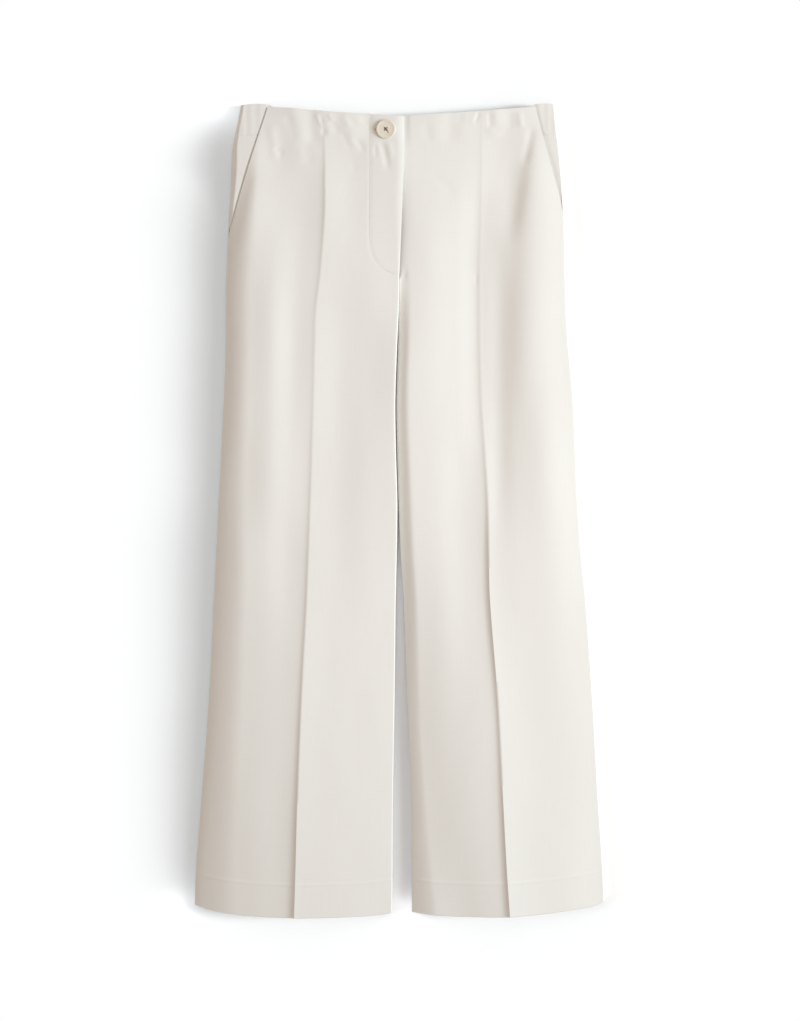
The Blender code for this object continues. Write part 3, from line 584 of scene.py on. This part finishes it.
def border_of(rows, columns):
    """Row and column numbers once round a grid."""
    grid = np.arange(rows * columns).reshape(rows, columns)
    once_round = [grid[0, :-1], grid[:-1, -1], grid[-1, :0:-1], grid[:0:-1, 0]]
    return np.divmod(np.concatenate(once_round), columns)


def placed(name, data):
    """An object in the scene."""
    obj = bpy.data.objects.new(name, data)
    scene.collection.objects.link(obj)
    return obj


def shell(name, points, thick, material, bulge=0.4):
    """A closed thin shell from a grid of points of its outer face, with a rounded rim."""
    rows, columns = points.shape[:2]
    normal = normals_of(points)
    inside = points - normal * np.broadcast_to(thick, (rows, columns))[..., None]
    r, c = border_of(rows, columns)
    r_in, c_in = np.clip(r, 1, rows - 2), np.clip(c, 1, columns - 2)
    out = points[r, c] - points[r_in, c_in]
    out -= (out * normal[r, c]).sum(axis=1, keepdims=True) * normal[r, c]
    out /= np.maximum(np.linalg.norm(out, axis=1, keepdims=True), 1e-9)
    rim = (points[r, c] + inside[r, c]) / 2
    rim += out * np.broadcast_to(bulge, (rows, columns))[r, c][:, None]
    order = np.arange(rows * columns).reshape(rows, columns)
    corners = [order[:-1, :-1], order[:-1, 1:], order[1:, 1:], order[1:, :-1]]
    outer = np.stack([part.ravel() for part in corners], axis=1)
    inner = outer[:, ::-1] + order.size
    first = order[r, c]
    second = np.arange(len(r)) + 2 * order.size
    third = first + order.size
    sides = [np.stack([np.roll(a, -1), a, b, np.roll(b, -1)], axis=1)
             for a, b in ((first, second), (second, third))]
    places = np.concatenate([points.reshape(-1, 3), inside.reshape(-1, 3), rim])
    faces = np.concatenate([outer, inner] + sides)
    mesh = bpy.data.meshes.new(name)
    mesh.from_pydata((places * MM).tolist(), [], faces.tolist())
    steps = ((1, points[:, :1]), (0, points[:1]))
    flat = np.stack([np.cumsum(np.linalg.norm(np.diff(points, axis=k, prepend=start), axis=-1), axis=k)
                     for k, start in steps], axis=-1)
    flat = np.concatenate([flat.reshape(-1, 2), flat.reshape(-1, 2), flat[r, c]]) * MM
    layer = mesh.uv_layers.new(name="cloth")
    layer.data.foreach_set("uv", flat[faces.ravel()].ravel())
    mesh.shade_smooth()
    mesh.set_sharp_from_angle(angle=math.radians(45))
    mesh.materials.append(material)
    return placed(name, mesh)


def undulation(x, y, seed, height):
    """Slight unevenness of laid cloth, drawn out along the leg."""
    draw = np.random.default_rng(seed)
    total = np.zeros(np.broadcast(x, y).shape)
    for _ in range(14):
        across = draw.uniform(34, 130)
        along = draw.uniform(150, 600) * draw.choice([-1, 1])
        phase = draw.uniform(0, 2 * math.pi)
        total += across / 130 * np.sin(2 * math.pi * (x / across + y / along) + phase)
    return total * height / 3


def front(name, material):
    """One front leg panel, from the waist edge to the turned-up hem."""
    levels = spread_over(FRONT_ROWS)[::-1][:, None]
    stations = spread_over(FRONT_STATIONS)
    order = np.arange(len(stations))
    if name == "left":
        stations, order = stations[::-1], order[::-1]
    level, stations = np.broadcast_arrays(levels, stations)
    x, _ = Leg(name, level).point(np.maximum(stations, 1))
    leg = Leg(name, bent(level, x, FRONT_TOP, TOP))
    spread = between(station_of(leg, leg.mouth), MOUTH_STATION, order / MOUTH_COLUMNS)
    share = eased((leg.y - MOUTH_FOOT + MOUTH_BLEND) / MOUTH_BLEND)
    station = np.where(order < MOUTH_COLUMNS, between(stations, spread, share), stations)
    x, _ = leg.point(station)
    leg = Leg(name, bent(level, x, FRONT_TOP, TOP))
    x, z = leg.point(station)
    open_part = eased(station / 0.8) * eased((4 - station) / 0.8)
    z = z + undulation(x, leg.y, DRAWS[name], UNEVEN) * open_part
    z = z + hem_ridge(x, leg.y) * open_part
    if name == "right":
        z = z - stitch_groove(x, leg.y)
    points = np.stack([x, leg.y, z], axis=-1)
    bulge = np.where(leg.y > MOUTH_FOOT, 0.12, np.where((station < 0.5) | (station > 4.5), 0.05, 0.5))
    return shell(f"front_{name}_cloth", points, thickness(x, leg.y), material, bulge)


def back_point(name, station, y):
    """Points of a back's outer face, which lies on the floor and rises at the seams."""
    leg = Leg(name, y)
    towards, edge = leg.towards, leg.back_edge
    up = 1 - eased((y - CROTCH) / FORK_RISE)
    rise = seam_height(y) - GAP / 2 - SEAM_LIP
    station = station + 0 * edge
    turn, inward = edge_turns(station)
    lip_start = edge - towards * SEAM_LIP * (1 - up)
    side_x = leg.side + towards * BACK_ROLL * (1 - np.cos(turn))
    open_from, open_to = leg.side + towards * BACK_ROLL, lip_start - towards * BACK_ROLL
    x = np.where(station < 1, side_x, between(open_from, open_to, (station - 1) / 2))
    x = np.where(station < 3, x, lip_start - towards * BACK_ROLL * (1 - np.sin(inward)))
    z = rise * (1 - np.sin(turn)) + SEAM_LIP * np.clip(-station, 0, 1)
    z = np.where(station < 3, z, rise * up * (1 - np.cos(inward)))
    share = np.clip(station - 4, 0, 1)
    x = np.where(station > 4, between(lip_start, edge, share), x)
    z = np.where(station > 4, (rise + SEAM_LIP * share) * up, z)
    return x, z


def band_foot(x):
    """Lower edge of the elastic casing."""
    return edge_at(BAND_TOP, x) - BAND_HEIGHT


def back(name, material):
    """One back leg panel, from the elastic casing to the turned-up hem."""
    stations = spread_over(BACK_STATIONS)
    if name == "right":
        stations = stations[::-1]
    level, stations = np.broadcast_arrays(spread_over(BACK_ROWS)[::-1][:, None], stations)
    foot_edge = [Edge(point.x, point.y - BAND_HEIGHT - GAP) for point in BAND_TOP]
    x, _ = back_point(name, stations, level)
    y = bent(level, x, foot_edge, BACK_TOP)
    x, z = back_point(name, stations, y)
    folds = np.exp(-((abs(x - Leg(name, y).crease) - BACK_FOLD_AWAY) / BACK_FOLD_HALF) ** 2)
    lift = BACK_FOLD * folds + undulation(x, y, DRAWS["back"], BACK_UNEVEN) + BACK_LIFT
    z = z + np.maximum(lift, 0) * eased((stations - 0.6) / 0.6) * eased((3.4 - stations) / 0.6)
    points = np.stack([x, y, z], axis=-1)
    return shell(f"back_{name}_cloth", points, thickness(x, y), material, 0.1)


# Pieces at the waist

def pressed(name, outside):
    """How much deeper a piece is pressed along the pocket mouth."""
    return MOUTH_PRESS[name] * np.exp(-(np.maximum(outside, 0) / MOUTH_PRESS_HALF) ** 2)


def sunk(leg, station):
    """How deep a piece beside the pocket mouth lies: under the front, and level with it at the side."""
    x, _ = leg.point(station)
    outside = leg.outside(x)
    full = CLOTH + REST_GAP + POCKET_SINK * eased((MOUTH_FOOT + 10 - leg.y) / 12)
    full = full + pressed(leg.leg, outside)
    at_side = full * (1 - eased(leg.shown / POCKET_NARROW))
    return between(full, at_side, eased(outside / np.maximum(leg.shown, 1)))


def tucked(name, share, y):
    """Points of a piece that runs from the side seam (share 0) to under the front (share 1)."""
    leg = Leg(name, y)
    inner = station_of(leg, leg.mouth + leg.towards * POCKET_LAP)
    outer = POCKET_HIDE[name] * (1 - eased(leg.shown / POCKET_NARROW))
    station = between(outer, inner, share)
    points = moved_in(name, station, y, sunk(leg, station))
    return points if name == "left" else levelled(leg, points)


def levelled(leg, points):
    """Keeps the right hip piece level from the mouth outwards, so that it falls only close to the side."""
    x, z = points[..., 0], points[..., 2].copy()
    _, edge = leg.point(station_of(leg, leg.mouth))
    foot = SEAM_HEIGHT + GAP / 2
    roll = np.minimum(column_at(SHELF, "width", leg.y), 0.8 * np.maximum(leg.shown, 1))
    near = np.clip((x - leg.side) * leg.towards / roll, 0, 1)
    shelf = between(foot, edge - CLOTH - REST_GAP, 1 - (1 - near) ** 2)
    outside = leg.outside(x)
    shelf = shelf - pressed("right", outside)
    points[..., 2] = between(z, np.maximum(z, shelf), eased(outside / 2) * eased(leg.shown / 6))
    return points


def pocket_piece(name, material):
    """The hip piece that shows in the pocket mouth, from the side seam to under the front."""
    columns, rows = 34, 60
    share = (np.arange(columns) - 1) / (columns - 2)
    if name == "left":
        share = share[::-1]
    share = np.broadcast_to(share, (rows, columns))
    rise = (np.arange(rows) / (rows - 1))[:, None]
    y = np.full(share.shape, 400.0)
    for _ in range(3):
        x = tucked(name, np.maximum(share, 0), y)[..., 0]
        y = between(POCKET_FOOT, band_foot(x) - SEAM_AIR, rise)
    points = tucked(name, np.maximum(share, 0), y)
    points[..., 2] -= SEAM_LIP * (share < 0)
    return shell(f"hip_piece_{name}", points, CLOTH, material, 0.04)


def waistband(material):
    """The elastic casing: across the back on the floor, round both sides and under the fronts."""
    rows = 26
    path = [("front", "right", share) for share in np.linspace(1, 0, 60)]
    stations = list(np.linspace(-0.6, 1, 10)) + list(np.linspace(1, 2.9, 76)[1:])
    path += [("back", "right", station) for station in stations]
    path += [("back", "left", station) for station in stations[::-1]]
    path += [("front", "left", share) for share in np.linspace(0, 1, 60)]
    rise = np.arange(rows) / (rows - 1)
    grid = np.zeros((rows, len(path), 3))
    for column, (kind, name, value) in enumerate(path[::-1]):
        y = np.full(rows, TOP - BAND_HEIGHT)
        for _ in range(4):
            if kind == "back":
                x, z = back_point(name, value, y)
                tuck = BAND_TUCK
                z = z + gathers(x, y) * eased((value - 0.2) / 0.5)
            else:
                point = tucked(name, value, y)
                x, z = point[:, 0], point[:, 2]
                outside = Leg(name, y).outside(x)
                tuck = BAND_TUCK * (1 - eased((outside + 6) / 6))
                waves = GATHER_SHOWN * (gathers(x, y) - GATHER_RISE)
                z = z + waves * eased((outside - 2) / 6) * eased(value / 0.2)
            top = edge_at(BAND_TOP, x)
            y = between(top - BAND_HEIGHT, top - tuck, rise)
        grid[:, column] = np.stack([x, y, z], axis=1)
    rim = np.array([0.08 if kind == "front" else 0.5 for kind, _, _ in path[::-1]])
    return shell("elastic_casing", grid, BAND_WALL, material, rim)


def gathers(x, y):
    """Ripples of the gathered casing, with uneven widths and heights."""
    place = x + 2.2 * np.sin(x / 17) + 1.4 * np.sin(x / 7.3 + 1)
    ripple = 0.5 + 0.5 * np.cos(2 * math.pi * place / GATHER_PITCH + 0.25 * np.sin(y / 9))
    return (0.7 + 0.45 * np.sin(x / 13 + 2)) * ripple


def under_fly(offsets, depth, top, foot, drop_beside=0):
    """Points of a strip under the fly, made from the points of the right front and moved down."""
    rows = 90
    offsets = np.array(offsets)
    level = np.broadcast_to(np.linspace(foot, top, rows)[:, None], (rows, len(offsets)))
    x = Leg("right", level).edge + offsets
    y = bent(level, x, FRONT_TOP, TOP)
    leg = Leg("right", y)
    rolled = np.clip((-offsets - FLY_LAP - 2 * GAP) / leg.inner_roll, 0, 1)
    drop = np.sqrt(1 - (1 - rolled) ** 2)
    surface = between(leg.centre, leg.height(np.minimum(x, leg.edge)), drop)
    return np.stack([x, y, surface - depth - drop_beside * fly_dip(y)], axis=-1)


def added(name, form, material, smooth=True):
    """An object from a bmesh."""
    mesh = bpy.data.meshes.new(name)
    form.to_mesh(mesh)
    form.free()
    if smooth:
        mesh.shade_smooth()
    mesh.materials.append(material)
    return placed(name, mesh)


def bridged(form, loops, count):
    """Adds the faces between rings, some of which may be a single point."""
    for low, high in zip(loops, loops[1:]):
        for k in range(count):
            corners = [low[k % len(low)], low[(k + 1) % len(low)],
                       high[(k + 1) % len(high)], high[k % len(high)]]
            unique = list(dict.fromkeys(corners))
            if len(unique) > 2:
                form.faces.new(unique)


def thread_bit(form, start, end, radius, arch=0, sides=8, rings=5):
    """Adds one stitch: a short rounded thread from start to end, which may arch up."""
    start, end = Vector(start), Vector(end)
    axis = (end - start).normalized()
    side = axis.cross(Vector((0, 0, 1))).normalized()
    up = side.cross(axis)
    loops = []
    for k in range(rings):
        share = k / (rings - 1)
        middle = start.lerp(end, share) + up * arch * math.sin(math.pi * share)
        size = radius * (0.35 + 0.65 * math.sin(math.pi * (0.1 + 0.8 * share)) ** 0.5)
        turns = [2 * math.pi * j / sides for j in range(sides)]
        places = [middle + side * size * math.cos(turn) + up * size * math.sin(turn) for turn in turns]
        loops.append([form.verts.new(place * MM) for place in places])
    bridged(form, loops, sides)
    form.faces.new(loops[0][::-1])
    form.faces.new(loops[-1])


def top_of(name, x, y):
    """Height of a front's outer face at one place."""
    return float(Leg(name, np.array([float(y)])).height(np.array([float(x)]))[0])


def fly_stitching(material):
    """The row of stitches that holds the fly."""
    form = bmesh.new()
    points, ahead = sampled(STITCH_LINE, 2.9)
    for (x, y), (ax, ay) in zip(points[1:], ahead[1:]):
        z = top_of("right", x, y) - 0.22
        thread_bit(form, (x - ax, y - ay, z), (x + ax, y + ay, z), 0.2, 0.08)
    return added("fly_stitching", form, material)


def buttonhole_stitching(material):
    """Dense stitches round the buttonhole, which lies across the right front."""
    form = bmesh.new()
    middle, half = BUTTON_X - HOLE_SHIFT, HOLE_LENGTH / 2 - 1
    stitches = [(middle + (2 * k / 43 - 1) * half, 0, side, 1.85, 0.15)
                for side in (-1, 1) for k in range(44)]
    for end in (-1, 1):
        turns = [math.radians(-80 + 20 * k) for k in range(9)]
        stitches += [(middle + end * half, end * math.cos(turn), math.sin(turn), 1.8, 0) for turn in turns]
    for x, ux, uy, reach, slant in stitches:
        z = top_of("right", x, BUTTON_Y)
        thread_bit(form, (x + ux * 0.35, BUTTON_Y + uy * 0.35, z + 0.05),
                   (x + ux * reach + slant, BUTTON_Y + uy * reach, z + 0.02), 0.24, 0.18, 6, 4)
    return added("buttonhole_stitching", form, material)


def turned(form, profile, segments, x, y):
    """Adds a closed turned form: profile is (radius, height) pairs from the axis round to the axis."""
    turns = [2 * math.pi * k / segments for k in range(segments)]
    loops = [[Vector((x + radius * math.cos(turn), y + radius * math.sin(turn), z)) * MM
              for turn in (turns if radius else [0])] for radius, z in profile]
    bridged(form, [[form.verts.new(place) for place in loop] for loop in loops], segments)


def button(material):
    """A turned four-hole button with a rounded rim and a shallow dish."""
    low = top_of("right", BUTTON_X, BUTTON_Y) + BUTTON_FLOAT
    high = low + BUTTON_THICK
    radius = BUTTON_RADIUS
    profile = [(0, low), (radius - 3, low), (radius - 2, low + 0.12)]
    profile += [(radius - 1.2 + 1.2 * math.sin(turn), low + 1.2 - 1.1 * math.cos(turn))
                for turn in (0, 0.5, 0.9, 1.3)]
    profile += [(radius - 1 + math.cos(turn), high - 1 + math.sin(turn))
                for turn in (0, 0.35, 0.7, 1.05, 1.4)]
    profile += [(radius - inwards, high - sink) for inwards, sink in RIM_TO_DISH]
    profile += [(BUTTON_FLAT, high - (BUTTON_DISH - 0.02)), (0, high - BUTTON_DISH)]
    form = bmesh.new()
    turned(form, profile, 72, BUTTON_X, BUTTON_Y)
    obj = added("button_face", form, material)
    for k in range(4):
        turn = math.radians(45 + 90 * k)
        form = bmesh.new()
        made = bmesh.ops.create_cone(form, cap_ends=True, segments=24, radius1=BUTTON_HOLE_RADIUS * MM,
                                     radius2=BUTTON_HOLE_RADIUS * MM, depth=8 * MM)
        place = Vector((BUTTON_X + BUTTON_HOLE_SPREAD * math.cos(turn),
                        BUTTON_Y + BUTTON_HOLE_SPREAD * math.sin(turn), (low + high) / 2)) * MM
        bmesh.ops.translate(form, verts=made["verts"], vec=place)
        drilled(obj, added("drill", form, material))
    east, west = (top_of("right", BUTTON_X + away, BUTTON_Y) for away in (8, -8))
    for vert in obj.data.vertices:
        vert.co.z += (east - west) / 16 * (vert.co.x - BUTTON_X * MM)
    obj.data.set_sharp_from_angle(angle=math.radians(40))
    return obj


def drilled(obj, tool):
    """Cuts a tool out of an object and removes the tool."""
    change = obj.modifiers.new("hole", "BOOLEAN")
    change.operation, change.solver, change.object = "DIFFERENCE", "EXACT", tool
    result = obj.evaluated_get(bpy.context.evaluated_depsgraph_get())
    mesh = bpy.data.meshes.new_from_object(result)
    obj.modifiers.clear()
    obj.data = mesh
    bpy.data.objects.remove(tool)


def button_thread(material):
    """Sewing thread at the button: slanting strands through its holes, a loose end, and the wound shank."""
    top = top_of("right", BUTTON_X, BUTTON_Y)
    face = top + BUTTON_FLOAT + BUTTON_THICK - BUTTON_DISH
    hole = BUTTON_HOLE_SPREAD * math.cos(math.radians(45))
    form = bmesh.new()
    for shift in STRAND_SHIFTS:
        x, y = BUTTON_X + shift, BUTTON_Y + shift
        thread_bit(form, (x - hole, y + hole, face - 0.5), (x + hole, y - hole, face - 0.5),
                   0.28, 0.95, 8, 9)
    start, end = (Vector((BUTTON_X, BUTTON_Y, face)) + Vector(place) for place in LOOSE_END)
    thread_bit(form, start, end, 0.3, 0.3, 8, 9)
    for k in range(9):
        z = top - 4 + 0.55 * k
        turned(form, [(0, z), (SHANK_RADIUS, z + 0.05), (SHANK_RADIUS + 0.1, z + 0.28),
                      (SHANK_RADIUS, z + 0.5), (0, z + 0.55)], 14, BUTTON_X, BUTTON_Y)
    return added("button_thread", form, material)


# Materials

def node(tree, kind, values=None, **settings):
    """Adds a shader node. Values are numbers or the sockets that feed its inputs."""
    made = tree.nodes.new(kind)
    for name, value in settings.items():
        setattr(made, name, value)
    for name, value in (values or {}).items():
        if isinstance(value, bpy.types.NodeSocket):
            tree.links.new(value, made.inputs[name])
        else:
            made.inputs[name].default_value = value
    return made


def maths(tree, operation, first, second=0):
    return node(tree, "ShaderNodeMath", {0: first, 1: second}, operation=operation).outputs[0]


def new_material(name, roughness, **sockets):
    """A Principled material. Sockets are named with _ for a space."""
    material = bpy.data.materials.new(name)
    material.use_nodes = True
    shader = material.node_tree.nodes["Principled BSDF"]
    shader.inputs["Roughness"].default_value = roughness
    for socket, value in sockets.items():
        shader.inputs[socket.replace("_", " ")].default_value = value
    return material, material.node_tree, shader


def stretched_noise(tree, vector, scale, size, detail=2, roughness=0.5):
    """Noise that is drawn out by scale along each axis."""
    place = node(tree, "ShaderNodeMapping", {"Vector": vector, "Scale": scale}).outputs[0]
    values = {"Vector": place, "Scale": size, "Detail": detail, "Roughness": roughness}
    return node(tree, "ShaderNodeTexNoise", values).outputs["Fac"]


def shaded(tree, shader, share, deep, light, low, high):
    """Draws the base colour from a ramp between two shades."""
    ramp = node(tree, "ShaderNodeValToRGB", {"Fac": share})
    for stop, place, colour in zip(ramp.color_ramp.elements, (low, high), (deep, light)):
        stop.position = place
        stop.color = (*colour, 1)
    tree.links.new(ramp.outputs[0], shader.inputs["Base Color"])


def roughened(tree, shader, height, strength, distance):
    bump = node(tree, "ShaderNodeBump", {"Height": height, "Strength": strength, "Distance": distance})
    tree.links.new(bump.outputs[0], shader.inputs["Normal"])


def cloth_material(name, light, deep):
    """Plain weave of linen and viscose: fine threads with long uneven slubs, soft and dull."""
    material, tree, shader = new_material(name, 0.86, Sheen_Weight=0.12, Sheen_Roughness=0.5,
                                          Specular_IOR_Level=0.22)
    cloth = node(tree, "ShaderNodeUVMap", uv_map="cloth").outputs[0]
    parts = node(tree, "ShaderNodeSeparateXYZ", {0: cloth})
    threads = [maths(tree, "SINE", maths(tree, "MULTIPLY", parts.outputs[k], 2 * math.pi / pitch))
               for k, pitch in enumerate(THREAD_PITCHES)]
    weave = maths(tree, "MULTIPLY", *threads)
    warp = stretched_noise(tree, cloth, (900, 22, 1), 1, 3, 0.6)
    weft = stretched_noise(tree, cloth, (30, 800, 1), 1, 3, 0.6)
    slubs = maths(tree, "ADD", maths(tree, "MULTIPLY", warp, 0.65), maths(tree, "MULTIPLY", weft, 0.35))
    cloud = stretched_noise(tree, cloth, (9, 4, 1), 1, 2, 0.5)
    share = maths(tree, "ADD", maths(tree, "MULTIPLY", slubs, 0.9), maths(tree, "MULTIPLY", cloud, 0.35))
    shaded(tree, shader, share, deep, light, 0.35, 0.85)
    height = maths(tree, "ADD", maths(tree, "MULTIPLY", weave, 0.25), slubs)
    roughened(tree, shader, height, 0.3, 0.00012)
    return material


def plain_material(name, light, deep, roughness, grain, size, bump=0, **sockets):
    """A material whose colour drifts between two shades over a noise of a size."""
    material, tree, shader = new_material(name, roughness, **sockets)
    place = node(tree, "ShaderNodeTexCoord").outputs["Object"]
    noise = stretched_noise(tree, place, grain, size, 4, 0.55)
    shaded(tree, shader, noise, deep, light, 0.3, 0.7)
    if bump:
        roughened(tree, shader, noise, bump, 0.0002)
    return material


# The scene

CREAM = cloth_material("cream_cloth", (0.815, 0.794, 0.757), (0.775, 0.752, 0.713))
LINING = cloth_material("cream_cloth_plain", (0.80, 0.775, 0.735), (0.76, 0.733, 0.69))
THREAD = plain_material("cream_thread", (0.74, 0.70, 0.62), (0.66, 0.61, 0.53), 0.7, (1, 1, 1), 900)
BROWN = plain_material("brown_thread", (0.24, 0.15, 0.09), (0.14, 0.08, 0.05), 0.75, (1, 1, 1), 1500)
RESIN = plain_material("button_resin", (0.80, 0.735, 0.63), (0.74, 0.665, 0.56), 0.38, (1, 2.2, 1), 150,
                       0, Specular_IOR_Level=0.5, Coat_Weight=0.2, Coat_Roughness=0.3)
TAPE = plain_material("zip_tape_cloth", (0.76, 0.73, 0.67), (0.70, 0.66, 0.6), 0.85, (1, 1, 1), 2500, 0.3)
COIL = plain_material("zip_coil", (0.72, 0.70, 0.65), (0.66, 0.63, 0.57), 0.4, (1, 1, 1), 300)
PAPER = plain_material("floor_paper", (0.87, 0.905, 0.955), (0.86, 0.895, 0.945), 0.9, (1, 1, 1), 6)


def zip_coil(material, tape):
    """Two rows of small teeth along the tape."""
    form = bmesh.new()
    middle = tape[:, len(tape[0]) // 2]
    lengths = np.concatenate([[0], np.cumsum(np.linalg.norm(np.diff(middle, axis=0), axis=1))])
    for k, at in enumerate(np.arange(2, lengths[-1] - 8, 1.35)):
        x, y, z = (np.interp(at, lengths, middle[:, j]) for j in range(3))
        side = 1 if k % 2 else -1
        thread_bit(form, (x - side * 0.3, y, z - 1.25), (x + side * 2, y + 0.2, z - 1.1), 0.5, 0, 6, 4)
    return added("zip_coil", form, material)


def zip_slider(material, tape):
    """The slider, closed at the top of the coil under the fly."""
    x, y, z = tape[-9, len(tape[0]) // 2]
    form = bmesh.new()
    bmesh.ops.create_cube(form, size=1)
    for vert in form.verts:
        narrow = 0.7 if vert.co.y < 0 else 1
        vert.co = Vector((vert.co.x * 6 * narrow, vert.co.y * 7.5, vert.co.z * 1.6))
    bmesh.ops.bevel(form, geom=list(form.edges), offset=0.5, segments=3, affect="EDGES", profile=0.5)
    for vert in form.verts:
        vert.co = (vert.co + Vector((x, y, z - 1.9))) * MM
    return added("zip_slider", form, material)


# What each piece of cloth was cut to, in metres, and what it lies on
Cut = namedtuple("Cut", "node width length area rests_on")
CUTS = listed(Cut,
    ("front_right", 0.255, 0.985, 0.222, ["back_right_cloth"]),
    ("front_left", 0.25, 0.985, 0.215, ["back_left_cloth"]),
    ("back_right", 0.25, 0.95, 0.21, []),
    ("back_left", 0.25, 0.95, 0.205, []),
    ("pocket_right", 0.05, 0.14, 0.0037, ["front_right_cloth"]),
    ("pocket_left", 0.045, 0.14, 0.0037, ["front_left_cloth"]),
    ("waistband_back", 0.52, 0.04, 0.0205, []),
    ("fly_shield", 0.037, 0.19, 0.0068, []),
    ("zip", 0.012, 0.18, None, []))


def build():
    """All the pieces, each with the solid it stands for."""
    made = {}
    for name in ("right", "left"):
        made[f"front_{name}"] = front(name, CREAM)
        made[f"back_{name}"] = back(name, CREAM)
        made[f"pocket_{name}"] = pocket_piece(name, CREAM)
    made["waistband_back"] = waistband(CREAM)
    below = WALL + LAP_GAP
    tape = under_fly(np.linspace(*ZIP_COLUMNS, 9), below, TOP - 8, FLY_FOOT + 6)
    made["zip"] = shell("zip_tape", tape, 0.7, TAPE, 0.1)
    shield = under_fly(np.interp(np.linspace(0, 4, 25), range(5), SHIELD_COLUMNS), 2 * below,
                       TOP - 3, FLY_FOOT + 2, SHIELD_DROP)
    made["fly_shield"] = shell("fly_shield_cloth", shield, SHIELD_WALL, LINING, 0.3)
    made["button"] = button(RESIN)
    for solid, piece in made.items():
        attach(piece, "root")
        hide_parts(solid)
    extras = {
        "cloth": [fly_stitching(THREAD), buttonhole_stitching(THREAD)],
        "zip": [zip_coil(COIL, tape), zip_slider(COIL, tape)],
        "button": [button_thread(BROWN)],
    }
    for slot, pieces in extras.items():
        for piece in pieces:
            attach(piece, "root")
    return made


FLOOR_DROP = -0.0003  # in metres


def floor():
    """The plain floor that the garment lies on."""
    form = bmesh.new()
    bmesh.ops.create_grid(form, x_segments=4, y_segments=4, size=20)
    obj = added("floor", form, PAPER, smooth=False)
    obj.location.z = FLOOR_DROP
    obj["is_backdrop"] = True
    return obj


def direction(azimuth, elevation):
    """A direction from its azimuth, measured from +X towards +Y, and its elevation, in degrees."""
    a, e = math.radians(azimuth), math.radians(elevation)
    return Vector((math.cos(a) * math.cos(e), math.sin(a) * math.cos(e), math.sin(e)))


def light(name, kind, energy, colour, out, receivers):
    """A light that shines from a direction on the pieces of one collection."""
    data = bpy.data.lights.new(name, kind)
    data.energy = energy
    data.color = colour
    obj = placed(name, data)
    obj.rotation_mode = "QUATERNION"
    obj.rotation_quaternion = out.to_track_quat("Z", "Y")
    obj.light_linking.receiver_collection = receivers
    return obj


# Softboxes: where they stand, how large they are in metres, and how bright each colour is on the garment
Softbox = namedtuple("Softbox", "name azimuth elevation away width height colour")
SOFTBOXES = listed(Softbox,
    ("softbox", 12, 31, 3.2, 1.5, 1.1, (0.255, 0.325, 0.372)),
    ("near_softbox", 12, 31, 1.5, 0.7, 0.5, (0.170, 0.160, 0.148)))

# Distant lamps that light the floor: the low keys, and a soft one from the other side
Lamp = namedtuple("Lamp", "azimuth elevation angle colour")
FLOOR_LAMPS = listed(Lamp,
    (0, 9, 8, (0.035, 0.026, 0.020)),
    (0, 12, 10, (0.206, 0.208, 0.206)),
    (0, 16, 12, (0.133, 0.128, 0.117)),
    (0, 22, 16, (0.130, 0.133, 0.131)),
    (180, 32, 34, (0.092, 0.130, 0.142)))

# Small panels, in metres, that look down from just above a place: three clear the floor's shadow there
Panel = namedtuple("Panel", "name x y z size strength")
FLOOR_PANELS = listed(Panel,
    ("waist_corner_fill", -0.206, 0.468, 0.026, 0.024, 0.58),
    ("hem_corner_fill", -0.258, -0.464, 0.026, 0.020, 0.60),
    ("gap_fill", 0.009, -0.464, 0.016, 0.018, 0.74))
GARMENT_PANELS = listed(Panel, ("overhead_fill", -0.08, 0.04, 0.5, 0.2, 0.05))
SURROUND = (0.564, 0.495, 0.442)


def softbox(box, receivers):
    out = direction(box.azimuth, box.elevation)
    made = light(box.name, "AREA", (math.pi * box.away) ** 2 / out.z, box.colour, out, receivers)
    made.data.shape = "RECTANGLE"
    made.data.size, made.data.size_y = box.width, box.height
    made.location = out * box.away


def lamp(name, row, receivers):
    out = direction(row.azimuth, row.elevation)
    made = light(name, "SUN", math.pi / out.z, row.colour, out, receivers)
    made.data.angle = math.radians(row.angle)


def panel(row, receivers):
    power = (math.pi * row.z) ** 2 * row.strength
    made = light(row.name, "AREA", power, (1, 1, 1), Vector((0, 0, 1)), receivers)
    made.data.size = row.size
    made.location = (row.x, row.y, row.z)
    made.visible_camera = False


def light_up(garment, ground):
    """Softboxes at the garment's left and an even warm surround. The floor has lower keys of its own."""
    for box in SOFTBOXES:
        softbox(box, garment)
    for number, row in enumerate(FLOOR_LAMPS):
        lamp(f"floor_lamp_{number + 1}", row, ground)
    for row in FLOOR_PANELS:
        panel(row, ground)
    for row in GARMENT_PANELS:
        panel(row, garment)
    world = bpy.data.worlds.new("surround")
    world.use_nodes = True
    background = world.node_tree.nodes["Background"]
    background.inputs["Color"].default_value = (*SURROUND, 1)
    background.inputs["Strength"].default_value = 1
    scene.world = world


# The camera stands straight above the picture's middle, 3 m over the floor. At 3 m the longer side of
# its picture is 1021 picture points long, of 1.16 mm each.
SENSOR = 36
AWAY = 3
PICTURE = 1.18436
CAMERA_PLACE = (0.58 * MM, -0.87 * MM, 3.008)


def camera():
    """Straight down from above, with the waist at the top of the picture."""
    data = bpy.data.cameras.new("camera")
    data.lens = SENSOR * AWAY / PICTURE
    data.sensor_width = SENSOR
    scene.camera = placed("camera", data)
    scene.camera.location = CAMERA_PLACE


def collection(name, members):
    """A collection that lights can be linked to."""
    made = bpy.data.collections.new(name)
    scene.collection.children.link(made)
    for member in members:
        made.objects.link(member)
    return made


pieces = build()
ground = collection("ground", [floor()])
garment = collection("garment", [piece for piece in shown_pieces() if piece.name != "floor"])
light_up(garment, ground)
camera()
scene.view_settings.view_transform = "Standard"
